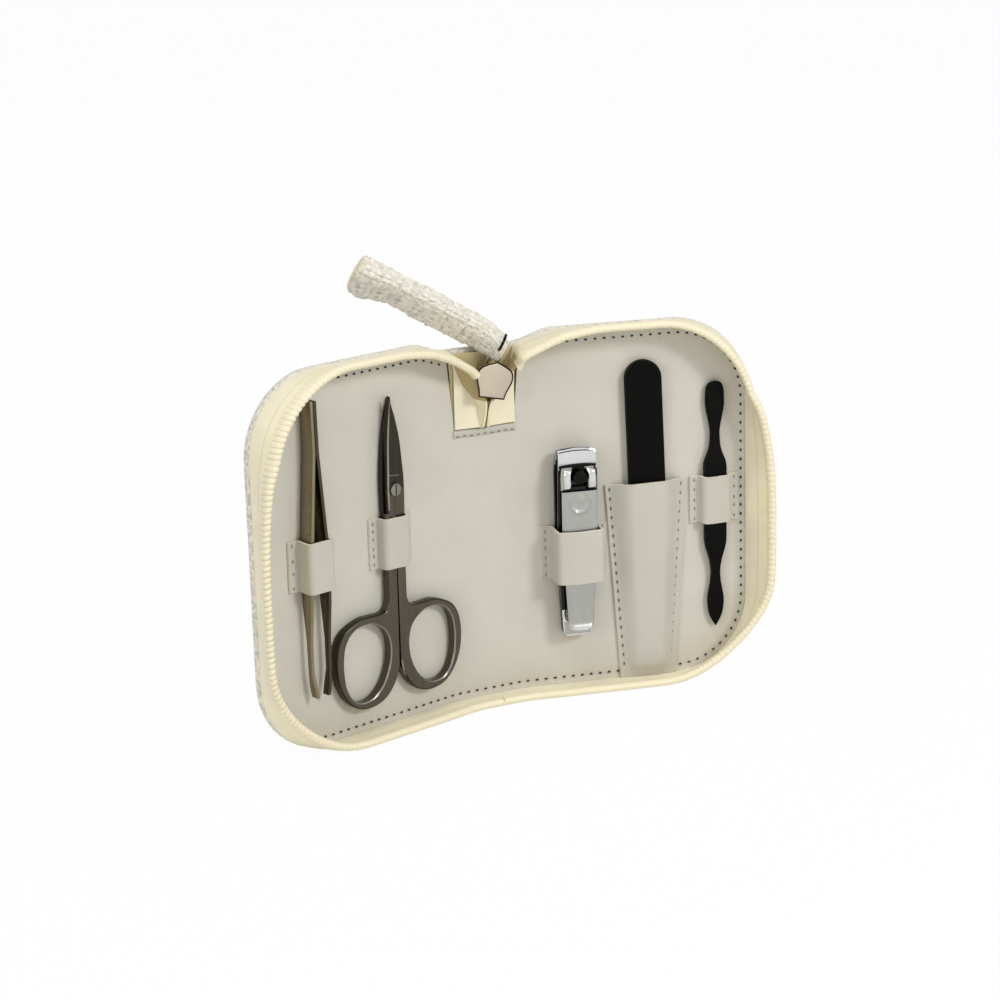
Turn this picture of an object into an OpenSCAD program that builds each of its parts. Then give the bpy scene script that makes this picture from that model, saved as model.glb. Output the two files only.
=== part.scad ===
// Zip-round manicure set case, open like a book and standing on its bottom edge.
// Lengths are millimetres. X runs along the open case, -Y faces the viewer, +Z is up.
// The origin is on the floor, in the middle of the spine.
// On a half, u is the distance from its fold, n the height above the lining, z the height.

/* [Case] */
// Width of each half, from its fold to its outer edge
half_w = 74.4; // [72:0.2:86]
// Height of the case
case_h = 114.6; // [112:0.2:130]
// Radius of the two outer corners of each half
corner_r = 24.5; // [16:0.5:28]
// Depth of each side wall, from the lining to the tips of the teeth
wall_depth = 11.2; // [10.8:0.1:15]
// Gap between the two rows of teeth when the case is shut
shut_gap = 0.3; // [0.2:0.1:1]
// Drop of the case's top edge from the halves down to the spine
spine_drop = 3.4; // [0:0.2:4]
// Angle that the left half stands folded in from flat
fold_left = 15; // [2:0.2:40]
// Angle that the right half stands folded in from flat
fold_right = 12.8; // [2:0.2:40]
// Thickness of the woven outer cover
cover_t = 1; // [0.6:0.1:1.6]
// Thickness of the stiffener board, and of the padding in the spine
board_t = 1.6; // [0.8:0.1:2.4]
// Thickness of the leatherette lining
lining_t = 0.6; // [0.5:0.1:1]
// Gap at each fold that lets the layers turn
fold_gap = 0.15; // [0.1:0.05:0.4]

/* [Zip] */
// Thickness of the zip tape
tape_t = 0.8; // [0.5:0.1:1.2]
// Step from the edge of the cover in to the face of the tape
tape_step = 0; // [0:0.1:0.5]
// Outward lean of the left wall's rim at the middle of its outer side
left_flare = 4.4; // [0:0.2:6]
// Outward lean of the right wall's rim at the middle of its outer side
right_flare = 5.4; // [0:0.2:6]
// Upward lean of a rim along its top side
top_flare = 1.8; // [0:0.2:3]
// Radius of a rim's two corners, rounder than the cover's
rim_r = 31; // [26:0.5:38]
// Drop of a rim at the end of its top side
rim_dip = 1.8; // [0:0.2:3]
// Distance from the fold at which a half's wall starts
wall_start = 12.5; // [12:0.5:20]
// Height of a zip tooth
tooth_h = 1.6; // [1:0.1:2.2]
// Width of a zip tooth, across the tape
tooth_w = 2.4; // [1.6:0.1:3]
// Length of a zip tooth, along the tape
tooth_l = 1; // [0.7:0.1:1.2]
// Distance from one tooth to the next
tooth_pitch = 1.7; // [1.5:0.1:2.6]
// Width of the window in the spine lining that takes the zip's end
window_w = 19.6; // [18:0.2:20.6]
// Distance from the case's top down to the window's lower edge
window_drop = 28.3; // [25:0.5:34]
// Distance from the case's top down to the slider's middle
slider_drop = 12.6; // [12.1:0.5:14.6]
// Distance of the slider's middle to the right of the spine's middle
slider_x = 1.2; // [0:0.2:2]
// Lean of the slider to the right
slider_tilt = 13; // [0:1:18]
// Width of the slider's shield
shield_w = 11.4; // [9:0.2:12]
// Length of the slider's shield
shield_l = 10.4; // [9:0.2:11]

/* [Pull] */
// Length of the woven pull
pull_l = 44; // [30:1:55]
// Width of the woven pull
pull_w = 11.6; // [8:0.2:12.4]
// Thickness of the woven pull
pull_t = 6.8; // [4.8:0.2:7.2]
// Angle by which the pull rises from level
pull_rise = 30; // [28:1:50]
// Angle by which the pull turns to the back, from level with the case
pull_turn = 25; // [15:1:50]
// Angle by which the pull rolls its wide face towards the viewer
pull_roll = 49; // [30:1:70]
// Radius of the pin between the link and the pull's metal end
pull_pin_r = 0.6; // [0.4:0.05:0.8]

/* [Straps] */
// Thickness of the loop straps and of the file's pocket
strap_t = 0.9; // [0.6:0.1:1.2]
// Width of a strap's sewn foot
strap_foot = 3; // [2:0.2:4]
// Room between a strap and the tool in it
strap_room = 0.45; // [0.3:0.05:0.8]
// Height of the tools' undersides above the lining
tool_lift = 0.3; // [0.2:0.05:0.5]

/* [Tweezers] */
// Distance of the tweezers' middle from the fold
tweezers_u = 55; // [52:0.2:57]
// Height of the tweezers' tips
tweezers_z = 17.4; // [14:0.5:19]
// Length of the tweezers
tweezers_l = 89; // [80:0.5:89]
// Thickness of each arm
tweezers_t = 1.1; // [0.8:0.1:1.4]
// Widest spread of the arms, outside to outside
tweezers_spread = 7.6; // [5:0.2:8]
// Widest stretch of an arm, seen from the side
tweezers_w = 5.6; // [4:0.2:6.4]

/* [Scissors] */
// Distance of the scissors' middle from the fold
scissors_u = 24.8; // [24.7:0.1:27]
// Height of the scissors' screw
scissors_z = 74.2; // [70:0.2:80]
// Distance from the screw to the tip
blade_l = 27.6; // [22:0.2:30]
// Distance from the screw to the middle of the finger rings
shank_l = 51; // [46:0.5:54]
// Width of a finger ring
ring_w = 24.2; // [22:0.2:24.2]
// Height of a finger ring
ring_h = 28.6; // [24:0.2:30]
// Width of a ring's bar at its outer side
ring_bar = 2.9; // [2.4:0.1:3.2]
// Thickness of one blade
blade_t = 1.6; // [1.2:0.1:1.9]
// Radius of the scissors' screw
screw_r = 1; // [0.7:0.05:1.3]

/* [Clipper] */
// Distance of the clipper's middle from the fold
clipper_u = 17.4; // [16.6:0.2:17.8]
// Height of the clipper's riveted end
clipper_z = 17.4; // [12:0.2:20]
// Length of the clipper's jaws
clipper_l = 60.6; // [56:0.2:64]
// Width of the clipper
clipper_w = 12.4; // [10:0.2:12.4]
// Thickness of each jaw
jaw_t = 1.2; // [0.9:0.1:1.4]
// Thickness of the lever
lever_t = 1.1; // [0.8:0.1:1.3]
// Radius of the pin through the jaws
pin_r = 1.2; // [0.9:0.05:1.5]

/* [File and pusher] */
// Distance of the file's middle from the fold, at the pocket's mouth
file_u = 41; // [40.6:0.1:41.4]
// Height of the file's rounded top
file_top = 103; // [96:0.5:104]
// Width of the file's handle
file_w = 11.5; // [9:0.1:12.5]
// Thickness of the file's handle
file_t = 2.2; // [1.6:0.1:2.4]
// Thickness of the file's blade
file_blade_t = 0.9; // [0.6:0.1:1.1]
// Length of the file's handle
file_handle_l = 49; // [44:0.5:54]
// Height of the file's hidden tip
file_tip = 9; // [8:0.5:16]
// Height of the pocket's mouth
pocket_top = 64; // [60:0.5:68]
// Width of the pocket at its mouth
pocket_w = 26.6; // [25:0.1:26.8]
// Width of the pocket at its foot
pocket_foot_w = 18.4; // [17:0.2:22]
// Bulge of the pocket at its mouth
pocket_bulge = 3.5; // [3.3:0.1:4.4]
// Distance of the pusher's middle from the fold
pusher_u = 63.2; // [63:0.1:64]
// Height of the pusher's point
pusher_z = 15; // [14:0.5:20]
// Length of the pusher
pusher_l = 79.5; // [70:0.5:84]
// Width of the pusher's grip
pusher_w = 7; // [5:0.1:7]
// Thickness of the pusher's grip
pusher_t = 2.4; // [1.6:0.1:3]

/* [Hidden] */
$fn = 48;

// Colours, as in the photo
weave_colour = "#E3DED2";
lining_colour = "#C3BEB0";
tape_colour = "#E8DFC4";
garage_colour = "#C8B98F";
steel_colour = "#5A5549";
chrome_colour = "#B9BCC0";
black_colour = "#141312";
board_colour = "#A89F8C";
silver_colour = "#D9D2C8";

// Small sizes used in several places
touch = 0.02;
seam = 0.1;
layers_t = cover_t + board_t + lining_t;
spine_w = 2 * wall_depth + shut_gap;
lining_y = -layers_t / 2;
tape_h = wall_depth - tooth_h;
window_z = case_h - window_drop;
slider_z = case_h - slider_drop;

function mix(a, b, t) = a + (b - a) * t;
function arc(c, r, a0, a1, steps = 10) =
    [for (i = [0:steps]) let(a = mix(a0, a1, i / steps)) c + r * [cos(a), sin(a)]];
function oval(c, rx, rz, steps = 40) =
    [for (i = [0:steps - 1]) let(a = 360 * i / steps) c + [rx * cos(a), rz * sin(a)]];
// Smooth curve through all points of p
function between(a, b, c, d, t) =
    0.5 * (2 * b + (c - a) * t + (2 * a - 5 * b + 4 * c - d) * t * t + (3 * b - a - 3 * c + d) * t * t * t);
function curve(p, steps = 6) = let(last = len(p) - 1)
    [for (i = [0:last - 1]) for (k = [0:steps - 1])
        between(p[max(i - 1, 0)], p[i], p[i + 1], p[min(i + 2, last)], k / steps), p[last]];
function reversed(p) = [for (i = [len(p) - 1:-1:0]) p[i]];
// Outline with the same curve on both sides of the middle line; p lists [half width, height]
function both_sides(p) = concat(p, [for (q = reversed(p)) if (q[0] > 0) [-q[0], q[1]]]);

// Places a child at the fold of the right half, or of the left one
module half(fold) translate([spine_w / 2, lining_y, 0]) rotate([0, 0, -fold]) children();
module right_half() half(fold_right) children();
module left_half() mirror([1, 0, 0]) half(fold_left) children();
module spine() translate([0, lining_y, 0]) children();
// Extrudes an outline of [u, z] from height n0 above the lining
module flat(n0, t) rotate([90, 0, 0]) translate([0, 0, n0]) linear_extrude(t) children();
// Extrudes an outline of [n, z] across u0 to u0 + w
module side(u0, w) translate([u0, 0, 0]) rotate([90, 0, -90]) linear_extrude(w) children();

// Closed solid between two sheets of points, each a list of rows
module sheet(face, back) {
    rows = len(face);
    cols = len(face[0]);
    function id(s, r, c) = (s * rows + r) * cols + c;
    function quad(a, b, c, d) = [[a, b, c], [a, c, d]];
    skin = [for (r = [0:rows - 2]) for (c = [0:cols - 2]) for (f = concat(
        quad(id(0, r, c), id(0, r, c + 1), id(0, r + 1, c + 1), id(0, r + 1, c)),
        quad(id(1, r, c), id(1, r + 1, c), id(1, r + 1, c + 1), id(1, r, c + 1)))) f];
    ends = [for (c = [0:cols - 2]) for (f = concat(
        quad(id(0, 0, c + 1), id(0, 0, c), id(1, 0, c), id(1, 0, c + 1)),
        quad(id(0, rows - 1, c), id(0, rows - 1, c + 1), id(1, rows - 1, c + 1), id(1, rows - 1, c)))) f];
    edges = [for (r = [0:rows - 2]) for (f = concat(
        quad(id(0, r, 0), id(0, r + 1, 0), id(1, r + 1, 0), id(1, r, 0)),
        quad(id(0, r + 1, cols - 1), id(0, r, cols - 1), id(1, r, cols - 1), id(1, r + 1, cols - 1)))) f];
    polyhedron(concat([for (r = face) each r], [for (r = back) each r]), concat(skin, ends, edges));
}

// Outline of a half, drawn in from the edge by inset, and open at the fold
module half_outline(inset, start = fold_gap) {
    mid = half_w - corner_r;
    polygon([[start, inset], [mid, inset], [mid, case_h - inset], [wall_start, case_h - inset],
        [start, case_h - spine_drop * (1 - start / wall_start) - inset]]);
    translate([mid, corner_r]) square([corner_r - inset, case_h - 2 * corner_r]);
    for (z = [corner_r, case_h - corner_r])
        translate([mid, z]) circle(corner_r - inset, $fn = 96);
}

module half_cover() color(weave_colour) difference() {
    flat(-layers_t, layers_t) half_outline(0);
    flat(-layers_t + cover_t, layers_t) half_outline(cover_t, 0);
}
module half_board() color(board_colour)
    flat(-lining_t - board_t, board_t) half_outline(cover_t + seam);
module half_lining() color(lining_colour)
    flat(-lining_t, lining_t) half_outline(cover_t + seam);

module cover_left() left_half() half_cover();
module board_left() left_half() half_board();
module lining_left() left_half() half_lining();
module cover_right() right_half() half_cover();
module board_right() right_half() half_board();
module lining_right() right_half() half_lining();

spine_h = case_h - spine_drop;
module spine_slab(n0, t, inset) flat(n0, t)
    translate([-spine_w / 2, inset]) square([spine_w, spine_h - 2 * inset]);
module spine_cover() color(weave_colour) spine() difference() {
    spine_slab(-layers_t, layers_t, 0);
    flat(-layers_t + cover_t, layers_t)
        translate([-spine_w, cover_t]) square([2 * spine_w, spine_h - 2 * cover_t]);
}
module spine_padding() color(board_colour) spine()
    spine_slab(-lining_t - board_t, board_t, cover_t + seam);

// The lining has a window at the top for the zip's end, with a folded hem under it
window_x = 0.6;
hem_h = 2;
hem_t = 0.5;
module window_outline(gap) translate([window_x - window_w / 2 + gap, window_z + gap])
    square([window_w - 2 * gap, case_h]);
module spine_lining() color(lining_colour) spine() {
    difference() {
        spine_slab(-lining_t, lining_t, cover_t + seam);
        flat(-2 * lining_t, 3 * lining_t) window_outline(0);
    }
    flat(0, hem_t) translate([window_x - window_w / 2, window_z - hem_h]) square([window_w, hem_h]);
}
garage_t = 0.4;
module zip_garage() color(garage_colour) spine() flat(-lining_t, garage_t) intersection() {
    window_outline(seam);
    translate([-spine_w / 2, 0]) square([spine_w, spine_h - cover_t - seam]);
}

// Path of a wall with corners of radius r: [u, z, direction it faces], from the bottom round to the top
dip_start = 26;
corner_steps = 14;
function wall_path(inset, r) = let(mid = half_w - r, k = r - inset)
    concat([[wall_start, inset, -90]],
        [for (i = [0:corner_steps]) let(a = mix(-90, 0, i / corner_steps))
            [mid + k * cos(a), r + k * sin(a), a]],
        [for (i = [1:5]) [mid + k, mix(r, case_h - r, i / 6), 0]],
        [for (i = [0:corner_steps]) let(a = mix(0, 90, i / corner_steps))
            [mid + k * cos(a), case_h - r + k * sin(a), a]],
        [for (i = [0:4]) [mix(dip_start, wall_start, i / 4), case_h - inset, 90]]);
// Share of the rim's shape that a wall has taken on at height n
function rim_share(n) = pow(n / tape_h, 1.3);
// Lean of a path point: out along the outer side, up along the top, down at the top's end
function lean(p, k, flare) = let(
    side_k = max(0, 1 - pow(abs(p[1] - 0.42 * case_h) / (0.38 * case_h), 3)),
    dip = p[2] < 90 ? 0 : rim_dip * pow(max(0, dip_start - p[0]) / (dip_start - wall_start), 1.5))
    [p[0] + k * flare * side_k * pow(cos(p[2]), 2), p[1] + k * (top_flare * pow(max(0, sin(p[2])), 2) - dip)];
function wall_row(n, inset, flare) = let(k = rim_share(n))
    [for (p = wall_path(inset, mix(corner_r, rim_r, k))) lean(p, k, flare)];
wall_levels = [0, 0.3, 0.55, 0.8, 1];
function wall_face(inset, flare) = [for (l = wall_levels)
    [for (q = wall_row(l * tape_h, inset, flare)) [q[0], -l * tape_h, q[1]]]];
module half_tape(flare) color(tape_colour)
    sheet(wall_face(tape_step + tape_t, flare), wall_face(tape_step, flare));
module zip_tape_left() left_half() half_tape(left_flare);
module zip_tape_right() right_half() half_tape(right_flare);

// Teeth stand on the tape's free edge, one pitch apart along it
function along(p, i = 0, s = 0) = i == len(p) - 1 ? [s]
    : concat([s], along(p, i + 1, s + norm(p[i + 1] - p[i])));
module half_teeth(flare) {
    path = wall_row(tape_h, tape_step + tooth_w / 2 + touch, flare);
    s = along(path);
    u_at = [for (i = [0:len(s) - 1]) [s[i], path[i][0]]];
    z_at = [for (i = [0:len(s) - 1]) [s[i], path[i][1]]];
    count = floor((s[len(s) - 1] - tooth_l) / tooth_pitch);
    for (k = [0:count]) let(
        at = tooth_l / 2 + k * tooth_pitch,
        du = lookup(at + tooth_l / 2, u_at) - lookup(at - tooth_l / 2, u_at),
        dz = lookup(at + tooth_l / 2, z_at) - lookup(at - tooth_l / 2, z_at))
        translate([lookup(at, u_at), -tape_h, lookup(at, z_at)])
            rotate([0, -atan2(dz, du), 0]) tooth();
}
module tooth() color(tape_colour) rotate([90, 0, 90]) translate([0, 0, -tooth_l / 2])
    linear_extrude(tooth_l) polygon([[0, tooth_w / 2], [-0.6 * tooth_h, tooth_w / 2],
        [-tooth_h, 0.3 * tooth_w], [-tooth_h, -0.3 * tooth_w],
        [-0.6 * tooth_h, -tooth_w / 2], [0, -tooth_w / 2]]);
module zip_teeth_left() left_half() half_teeth(left_flare);
module zip_teeth_right() right_half() half_teeth(right_flare);

// World place of a point of a half that stands folded in by the angle fold, on the right side
function at_half(fold, u, n, z) = [spine_w / 2 + u * cos(fold) - n * sin(fold),
    lining_y - u * sin(fold) - n * cos(fold), z];
function at_spine(x, n, z) = [x, lining_y - n, z];

// Bottom gusset: the flat stretch of tape from a half's wall to the middle of the spine
module bottom_gusset(fold) color(tape_colour) let(u = wall_start - seam,
    far_rim = at_half(fold, u, tape_h, 0), near_rim = at_half(fold, 0.1, tape_h - 0.3, 0),
    mid_rim = at_spine(0.05, tape_h - 0.8, 0))
    translate([0, 0, tape_step]) linear_extrude(tape_t) polygon([for (p = concat(
        [at_spine(0.05, 0, 0), at_half(fold, 0, 0, 0), at_half(fold, u, 0, 0), far_rim],
        curve([far_rim, near_rim, mid_rim], 6))) [p[0], p[1]]]);
module gusset_bottom_right() bottom_gusset(fold_right);
module gusset_bottom_left() mirror([1, 0, 0]) bottom_gusset(fold_left);

// The top stretch of tape leaves the wall, drops to the slider and ends flat in the window.
// Each station lists the sewn edge, the crease and the edge with the teeth, on the tape's outer face
tail_top = case_h - tape_step;
rim_end = top_flare - rim_dip;
function top_gusset(fold) = let(u = wall_start - seam) [
    [at_half(fold, u, 0, tail_top), at_half(fold, u, 0.5 * tape_h, tail_top + 0.4 * rim_end),
        at_half(fold, u, tape_h, tail_top + rim_end)],
    [at_half(fold, 6, 0.15, tail_top - 0.52 * spine_drop), at_half(fold, 6, 0.45 * tape_h, tail_top - 2),
        at_half(fold, 6, 0.97 * tape_h, tail_top - 2.6)],
    [at_half(fold, 0.2, 0.3, tail_top - spine_drop), at_half(fold, 0.2, 0.4 * tape_h, tail_top - 4.2),
        at_half(fold, 0.2, 0.9 * tape_h, tail_top - 5.6)]];
// Below the slider the teeth's edges lie between its shield and its plate
tail_n = 4.9;
// Stations of the tape inside the spine on side s, drawn as if on the right; x0 is the slider's
// place towards that side, x1 that of its top, and w0 that of the window
function tail(fold, s) = let(x0 = s * slider_x, x1 = x0 + s * 4 * sin(slider_tilt), w0 = s * window_x) [
    [for (p = top_gusset(fold)[2]) [p[0] - 1.1, p[1], p[2] - 0.1]],
    [at_spine(9.8 + w0, 0.1, slider_z + 6), at_spine(9 + 0.5 * x0, 1.8, slider_z + 5),
        at_spine(6.7 + x1, 5.9, slider_z + 3.6)],
    [at_spine(9.9 + w0, 0.05, slider_z), at_spine(7 + 0.5 * x0, 0.9, slider_z - 0.6),
        at_spine(3.6 + x0, 4.6, slider_z - 1)],
    [at_spine(10 + w0, 0.05, slider_z - 6.4), at_spine(5, 0.9, slider_z - 6.9),
        at_spine(0.5, tail_n, slider_z - 7.4)],
    [at_spine(10 + w0, 0.05, window_z + 0.6), at_spine(3, 1, window_z + 0.6),
        at_spine(0.4, 2.3, window_z + 0.6)]];
// The same stations on the tape's inner face, further in by t; way is the tape's direction at the first
function inner(rows, t, way) = let(last = len(rows) - 1) [for (r = [0:last]) [for (i = [0:2]) let(
    across = cross(rows[r][min(i + 1, 2)] - rows[r][max(i - 1, 0)],
        r == 0 ? way : rows[min(r + 1, last)][i] - rows[r - 1][i]))
    rows[r][i] + t * across / norm(across)]];
module soft_tape(rows, way) color(tape_colour) sheet(rows, inner(rows, tape_t, way));
module top_tape(fold) soft_tape(top_gusset(fold), at_half(fold, -1, 0, 0) - at_half(fold, 0, 0, 0));
module tail_tape(fold, s) soft_tape(tail(fold, s), top_gusset(fold)[2][1] - top_gusset(fold)[1][1]);
module gusset_top_right() top_tape(fold_right);
module gusset_top_left() mirror([1, 0, 0]) top_tape(fold_left);
module zip_tail_right() tail_tape(fold_right, 1);
module zip_tail_left() mirror([1, 0, 0]) tail_tape(fold_left, -1);

// Short closed run of teeth behind the two tails, from the slider down into the window
chain_t = 0.9;
module zip_chain() color(tape_colour) {
    top = at_spine(0, 3.2, slider_z - 7);
    foot = at_spine(0, 0.7, window_z + 1.2);
    count = floor(norm(top - foot) / (tooth_pitch / 2));
    for (k = [0:count - 1])
        translate(mix(foot, top, (k + 0.5) / count)) translate([k % 2 == 0 ? -0.15 : 0.15, 0, 0])
            cube([tooth_w, chain_t, 0.42 * tooth_pitch], center = true);
}

// Slider: shield in front, back plate, post between them, bridge at the back
shield_t = 1;
shield_n = 5.8;
plate_n = 2.9;
plate_t = 0.9;
post_r = 1;
plate_top = 2.4;
bridge_w = 2.2;
bridge_out = 2.2;
bridge_bar = 0.7;
link_r = 0.55;
module at_slider() translate([slider_x, lining_y, slider_z]) rotate([0, slider_tilt, 0]) children();
module shield_outline() polygon(both_sides(curve([[0, shield_l / 2], [0.42 * shield_w, 0.3 * shield_l],
    [0.5 * shield_w, 0.04 * shield_l], [0.38 * shield_w, -0.34 * shield_l],
    [0.36 * shield_w, -shield_l / 2]], 5)));
module slider_body() color(silver_colour) at_slider() {
    flat(shield_n, shield_t) shield_outline();
    flat(plate_n, plate_t) polygon([[-2.6, plate_top], [2.6, plate_top], [2.6, -1], [1.2, -shield_l / 2],
        [-1.2, -shield_l / 2], [-2.6, -1]]);
    translate([0, 0, plate_top - 1.2]) flat(plate_n, shield_n - plate_n + touch) circle(post_r);
    side(bridge_w / 2, bridge_w) difference() {
        translate([plate_n - bridge_out, -0.35 * shield_l]) square([bridge_out + touch, 0.7 * shield_l]);
        translate([plate_n - bridge_out + bridge_bar, -0.35 * shield_l + bridge_bar])
            square([bridge_out, 0.7 * shield_l - 2 * bridge_bar]);
    }
}

// Link: a wire loop through the bridge, leaning forward, with an eye at its top for the pull
link_n = plate_n - 0.25 - link_r;
link_z = 0.35 * shield_l - bridge_bar - link_r - 0.2;
link_w = 3.6;
link_lean = 25;
loop_l = 5.8;
eye_l = 9.6;
eye_r = 1.2;
eye_t = 1.2;
module at_link() at_slider() translate([0, -link_n, link_z]) rotate([link_lean, 0, 0]) children();
// The eye's axis is square to the link and to the pull: its roll from level about the pull
link_way = [cos(link_lean) * sin(slider_tilt), -sin(link_lean), cos(link_lean) * cos(slider_tilt)];
pull_way = [-cos(pull_rise) * cos(pull_turn), cos(pull_rise) * sin(pull_turn), sin(pull_rise)];
pull_level = [-sin(pull_turn), -cos(pull_turn), 0];
eye_roll = atan2(link_way * pull_level, link_way * cross(pull_way, pull_level));
// Frame at the eye: X runs along the pull; a roll of eye_roll puts Y along the eye's axis
module at_eye(roll) at_link() translate([0, 0, eye_l]) rotate([-link_lean, 0, 0]) rotate([0, -slider_tilt, 0])
    rotate([0, 0, 180 - pull_turn]) rotate([0, -pull_rise, 0]) rotate([-roll, 0, 0]) children();
module across_eye(r, l) translate([0, l / 2, 0]) rotate([90, 0, 0]) cylinder(r = r, h = l);
module puller_link() color(silver_colour) difference() {
    union() {
        at_link() {
            for (x = [-link_w / 2, link_w / 2]) translate([x, 0, 0]) {
                cylinder(r = link_r, h = loop_l);
                for (z = [0, loop_l]) translate([0, 0, z]) sphere(link_r);
            }
            for (z = [0, loop_l]) translate([-link_w / 2, 0, z]) rotate([0, 90, 0])
                cylinder(r = link_r, h = link_w);
            translate([0, 0, loop_l]) cylinder(r = link_r, h = eye_l - loop_l - 0.7 * eye_r);
        }
        at_eye(eye_roll) across_eye(eye_r, eye_t);
    }
    at_eye(eye_roll) across_eye(pull_pin_r + 0.05, 2 * eye_t);
}

// Metal end: two ears and a pin at the eye, and a short block that the woven pull is folded round
ear_t = 0.8;
ear_gap = eye_t / 2 + 0.2;
cap_start = eye_r + 0.35;
cap_l = 1.5;
cap_w = 7.6;
cap_t = 4.4;
pull_edge_r = 2.2;
pull_corner = 3;
module round_bar(l, w, t, r) rotate([90, 0, 90]) linear_extrude(l) {
    square([w - 2 * r, t], center = true);
    square([w, t - 2 * r], center = true);
    for (x = [-1, 1], y = [-1, 1]) translate([x * (w / 2 - r), y * (t / 2 - r)]) circle(r);
}
module pull_clamp() color(silver_colour) {
    at_eye(eye_roll) {
        for (s = [-1, 1]) translate([0, s * (ear_gap + ear_t / 2), 0]) {
            across_eye(eye_r - 0.1, ear_t);
            translate([0, -ear_t / 2, 0.1 - eye_r]) cube([cap_start + touch, ear_t, 2 * (eye_r - 0.1)]);
        }
        across_eye(pull_pin_r, 2 * (ear_gap + ear_t));
    }
    at_eye(pull_roll) translate([cap_start, 0, 0]) round_bar(cap_l, cap_w, cap_t, 1.4);
}
module pull_strap() color(weave_colour) at_eye(pull_roll) translate([cap_start + cap_l, 0, 0]) intersection() {
    round_bar(pull_l, pull_w, pull_t, pull_edge_r);
    translate([0, 0, -pull_t]) linear_extrude(2 * pull_t) {
        translate([0, -pull_w / 2]) square([pull_l - pull_corner, pull_w]);
        translate([0, -pull_w / 2 + pull_corner]) square([pull_l, pull_w - 2 * pull_corner]);
        for (s = [-1, 1]) translate([pull_l - pull_corner, s * (pull_w / 2 - pull_corner)]) circle(pull_corner);
    }
}

// Loop strap round a tool of width w and height h, sewn down at both feet
module loop_strap(u, z0, strap_h, w, h) color(lining_colour) let(
    a = w / 2 + strap_room, b = h + strap_room, r = min(2.2 * strap_room, a / 2, b / 2), o = r + strap_t)
    translate([u, 0, z0]) linear_extrude(strap_h) mirror([0, 1]) polygon(concat(
        [[-a - strap_t - strap_foot, 0], [-a - strap_t - strap_foot, strap_t], [-a - strap_t, strap_t]],
        arc([-a - strap_t + o, b + strap_t - o], o, 180, 90, 6),
        arc([a + strap_t - o, b + strap_t - o], o, 90, 0, 6),
        [[a + strap_t, strap_t], [a + strap_t + strap_foot, strap_t], [a + strap_t + strap_foot, 0], [a, 0]],
        arc([a - r, b - r], r, 0, 90, 6), arc([-a + r, b - r], r, 90, 180, 6), [[-a, 0]]));

// Tweezers: two arms on edge, welded at the top and sprung apart
tweezers_n = tool_lift + tweezers_w / 2;
weld_l = 9;
weld_gap = 0.12;
tweezers_side = [[0.9, 0], [0.99, 0.1], [0.99, 0.25], [1, 0.5], [0.84, 0.64], [0.6, 0.73], [0.33, 0.81],
    [0.3, 0.91], [0.46, 0.96], [0.46, 1]];
tweezers_bow = [[0.16, weld_l / tweezers_l], [0.44, 0.23], [0.78, 0.42], [0.94, 0.55], [1, 0.72], [1, 0.88],
    [0.94, 0.93], [0.68, 1]];
function arm_point(p) = [p[0] * tweezers_spread / 2, tweezers_z + tweezers_l * (1 - p[1])];
module arm_outline() let(
    outer = concat([[tweezers_t + weld_gap / 2, tweezers_z + tweezers_l]],
        [for (p = curve([for (q = tweezers_bow) arm_point(q)], 5)) [max(p[0], tweezers_t + weld_gap / 2), p[1]]]),
    inner = [for (p = outer) p - [tweezers_t, 0]])
    polygon(concat(outer, reversed(inner)));
module tweezers_arm() intersection() {
    flat(0, 2 * tweezers_n) arm_outline();
    side(tweezers_spread, 2 * tweezers_spread) let(e = curve([for (q = tweezers_side)
        [q[0] * tweezers_w / 2, tweezers_z + tweezers_l * (1 - q[1])]], 5))
        translate([tweezers_n, 0]) polygon(both_sides(e));
}
module tweezers_arm_left() color(steel_colour) left_half() translate([tweezers_u, 0, 0]) tweezers_arm();
module tweezers_arm_right() color(steel_colour) left_half() translate([tweezers_u, 0, 0])
    mirror([1, 0, 0]) tweezers_arm();
tweezers_strap_z = 50;
tweezers_strap_h = 15.2;
module tweezers_strap() left_half()
    loop_strap(tweezers_u, tweezers_strap_z, tweezers_strap_h, 0.9 * tweezers_spread, tool_lift + tweezers_w);

// Scissors: each half is a blade in its own layer, a shank and a finger ring
split = 0.15;
boss_r = 10;
blade_gap = 0.1;
blade_n = tool_lift + 0.1;
scissors_t = 2 * blade_t + blade_gap;
shank_w = 3.4;
screw_head_t = 0.7;
module blade_outline() polygon(concat(
    curve([[0.9, blade_l], [-0.9, 0.8 * blade_l], [-2.4, 0.55 * blade_l], [-3.3, 0.25 * blade_l],
        [-3.6, 0], [-3.4, -0.8 * boss_r]], 5),
    [[2.6, -0.8 * boss_r], [2.9, 0], [2.4, 0.5 * blade_l]]));
// Ring outlines as shares of the ring's width and height about its middle; the outer one starts at the
// shank and the inner one runs round beside it
ring_edge = [[0.16, 0.535], [0.2, 0.5], [0.28, 0.488], [0.42, 0.49], [0.6, 0.485], [0.84, 0.4], [0.95, 0.28],
    [0.995, 0.14], [1, 0], [0.97, -0.16], [0.89, -0.31], [0.78, -0.42], [0.66, -0.48], [0.52, -0.5],
    [0.38, -0.49], [0.24, -0.44], [0.12, -0.34], [0.03, -0.2], [0, -0.08]];
ring_hole = [[0.52, 0.5], [0.7, 0.48], [0.86, 0.4], [0.96, 0.27], [1, 0.1], [1, -0.05], [0.97, -0.22],
    [0.89, -0.37], [0.77, -0.465], [0.6, -0.5], [0.42, -0.48], [0.27, -0.41], [0.14, -0.29], [0.04, -0.12],
    [0, 0.06], [0.02, 0.22], [0.09, 0.34], [0.22, 0.43], [0.38, 0.49]];
function ring_points(p, x, w, h) = [for (q = p) [x + q[0] * w, -shank_l + q[1] * h]];
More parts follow.
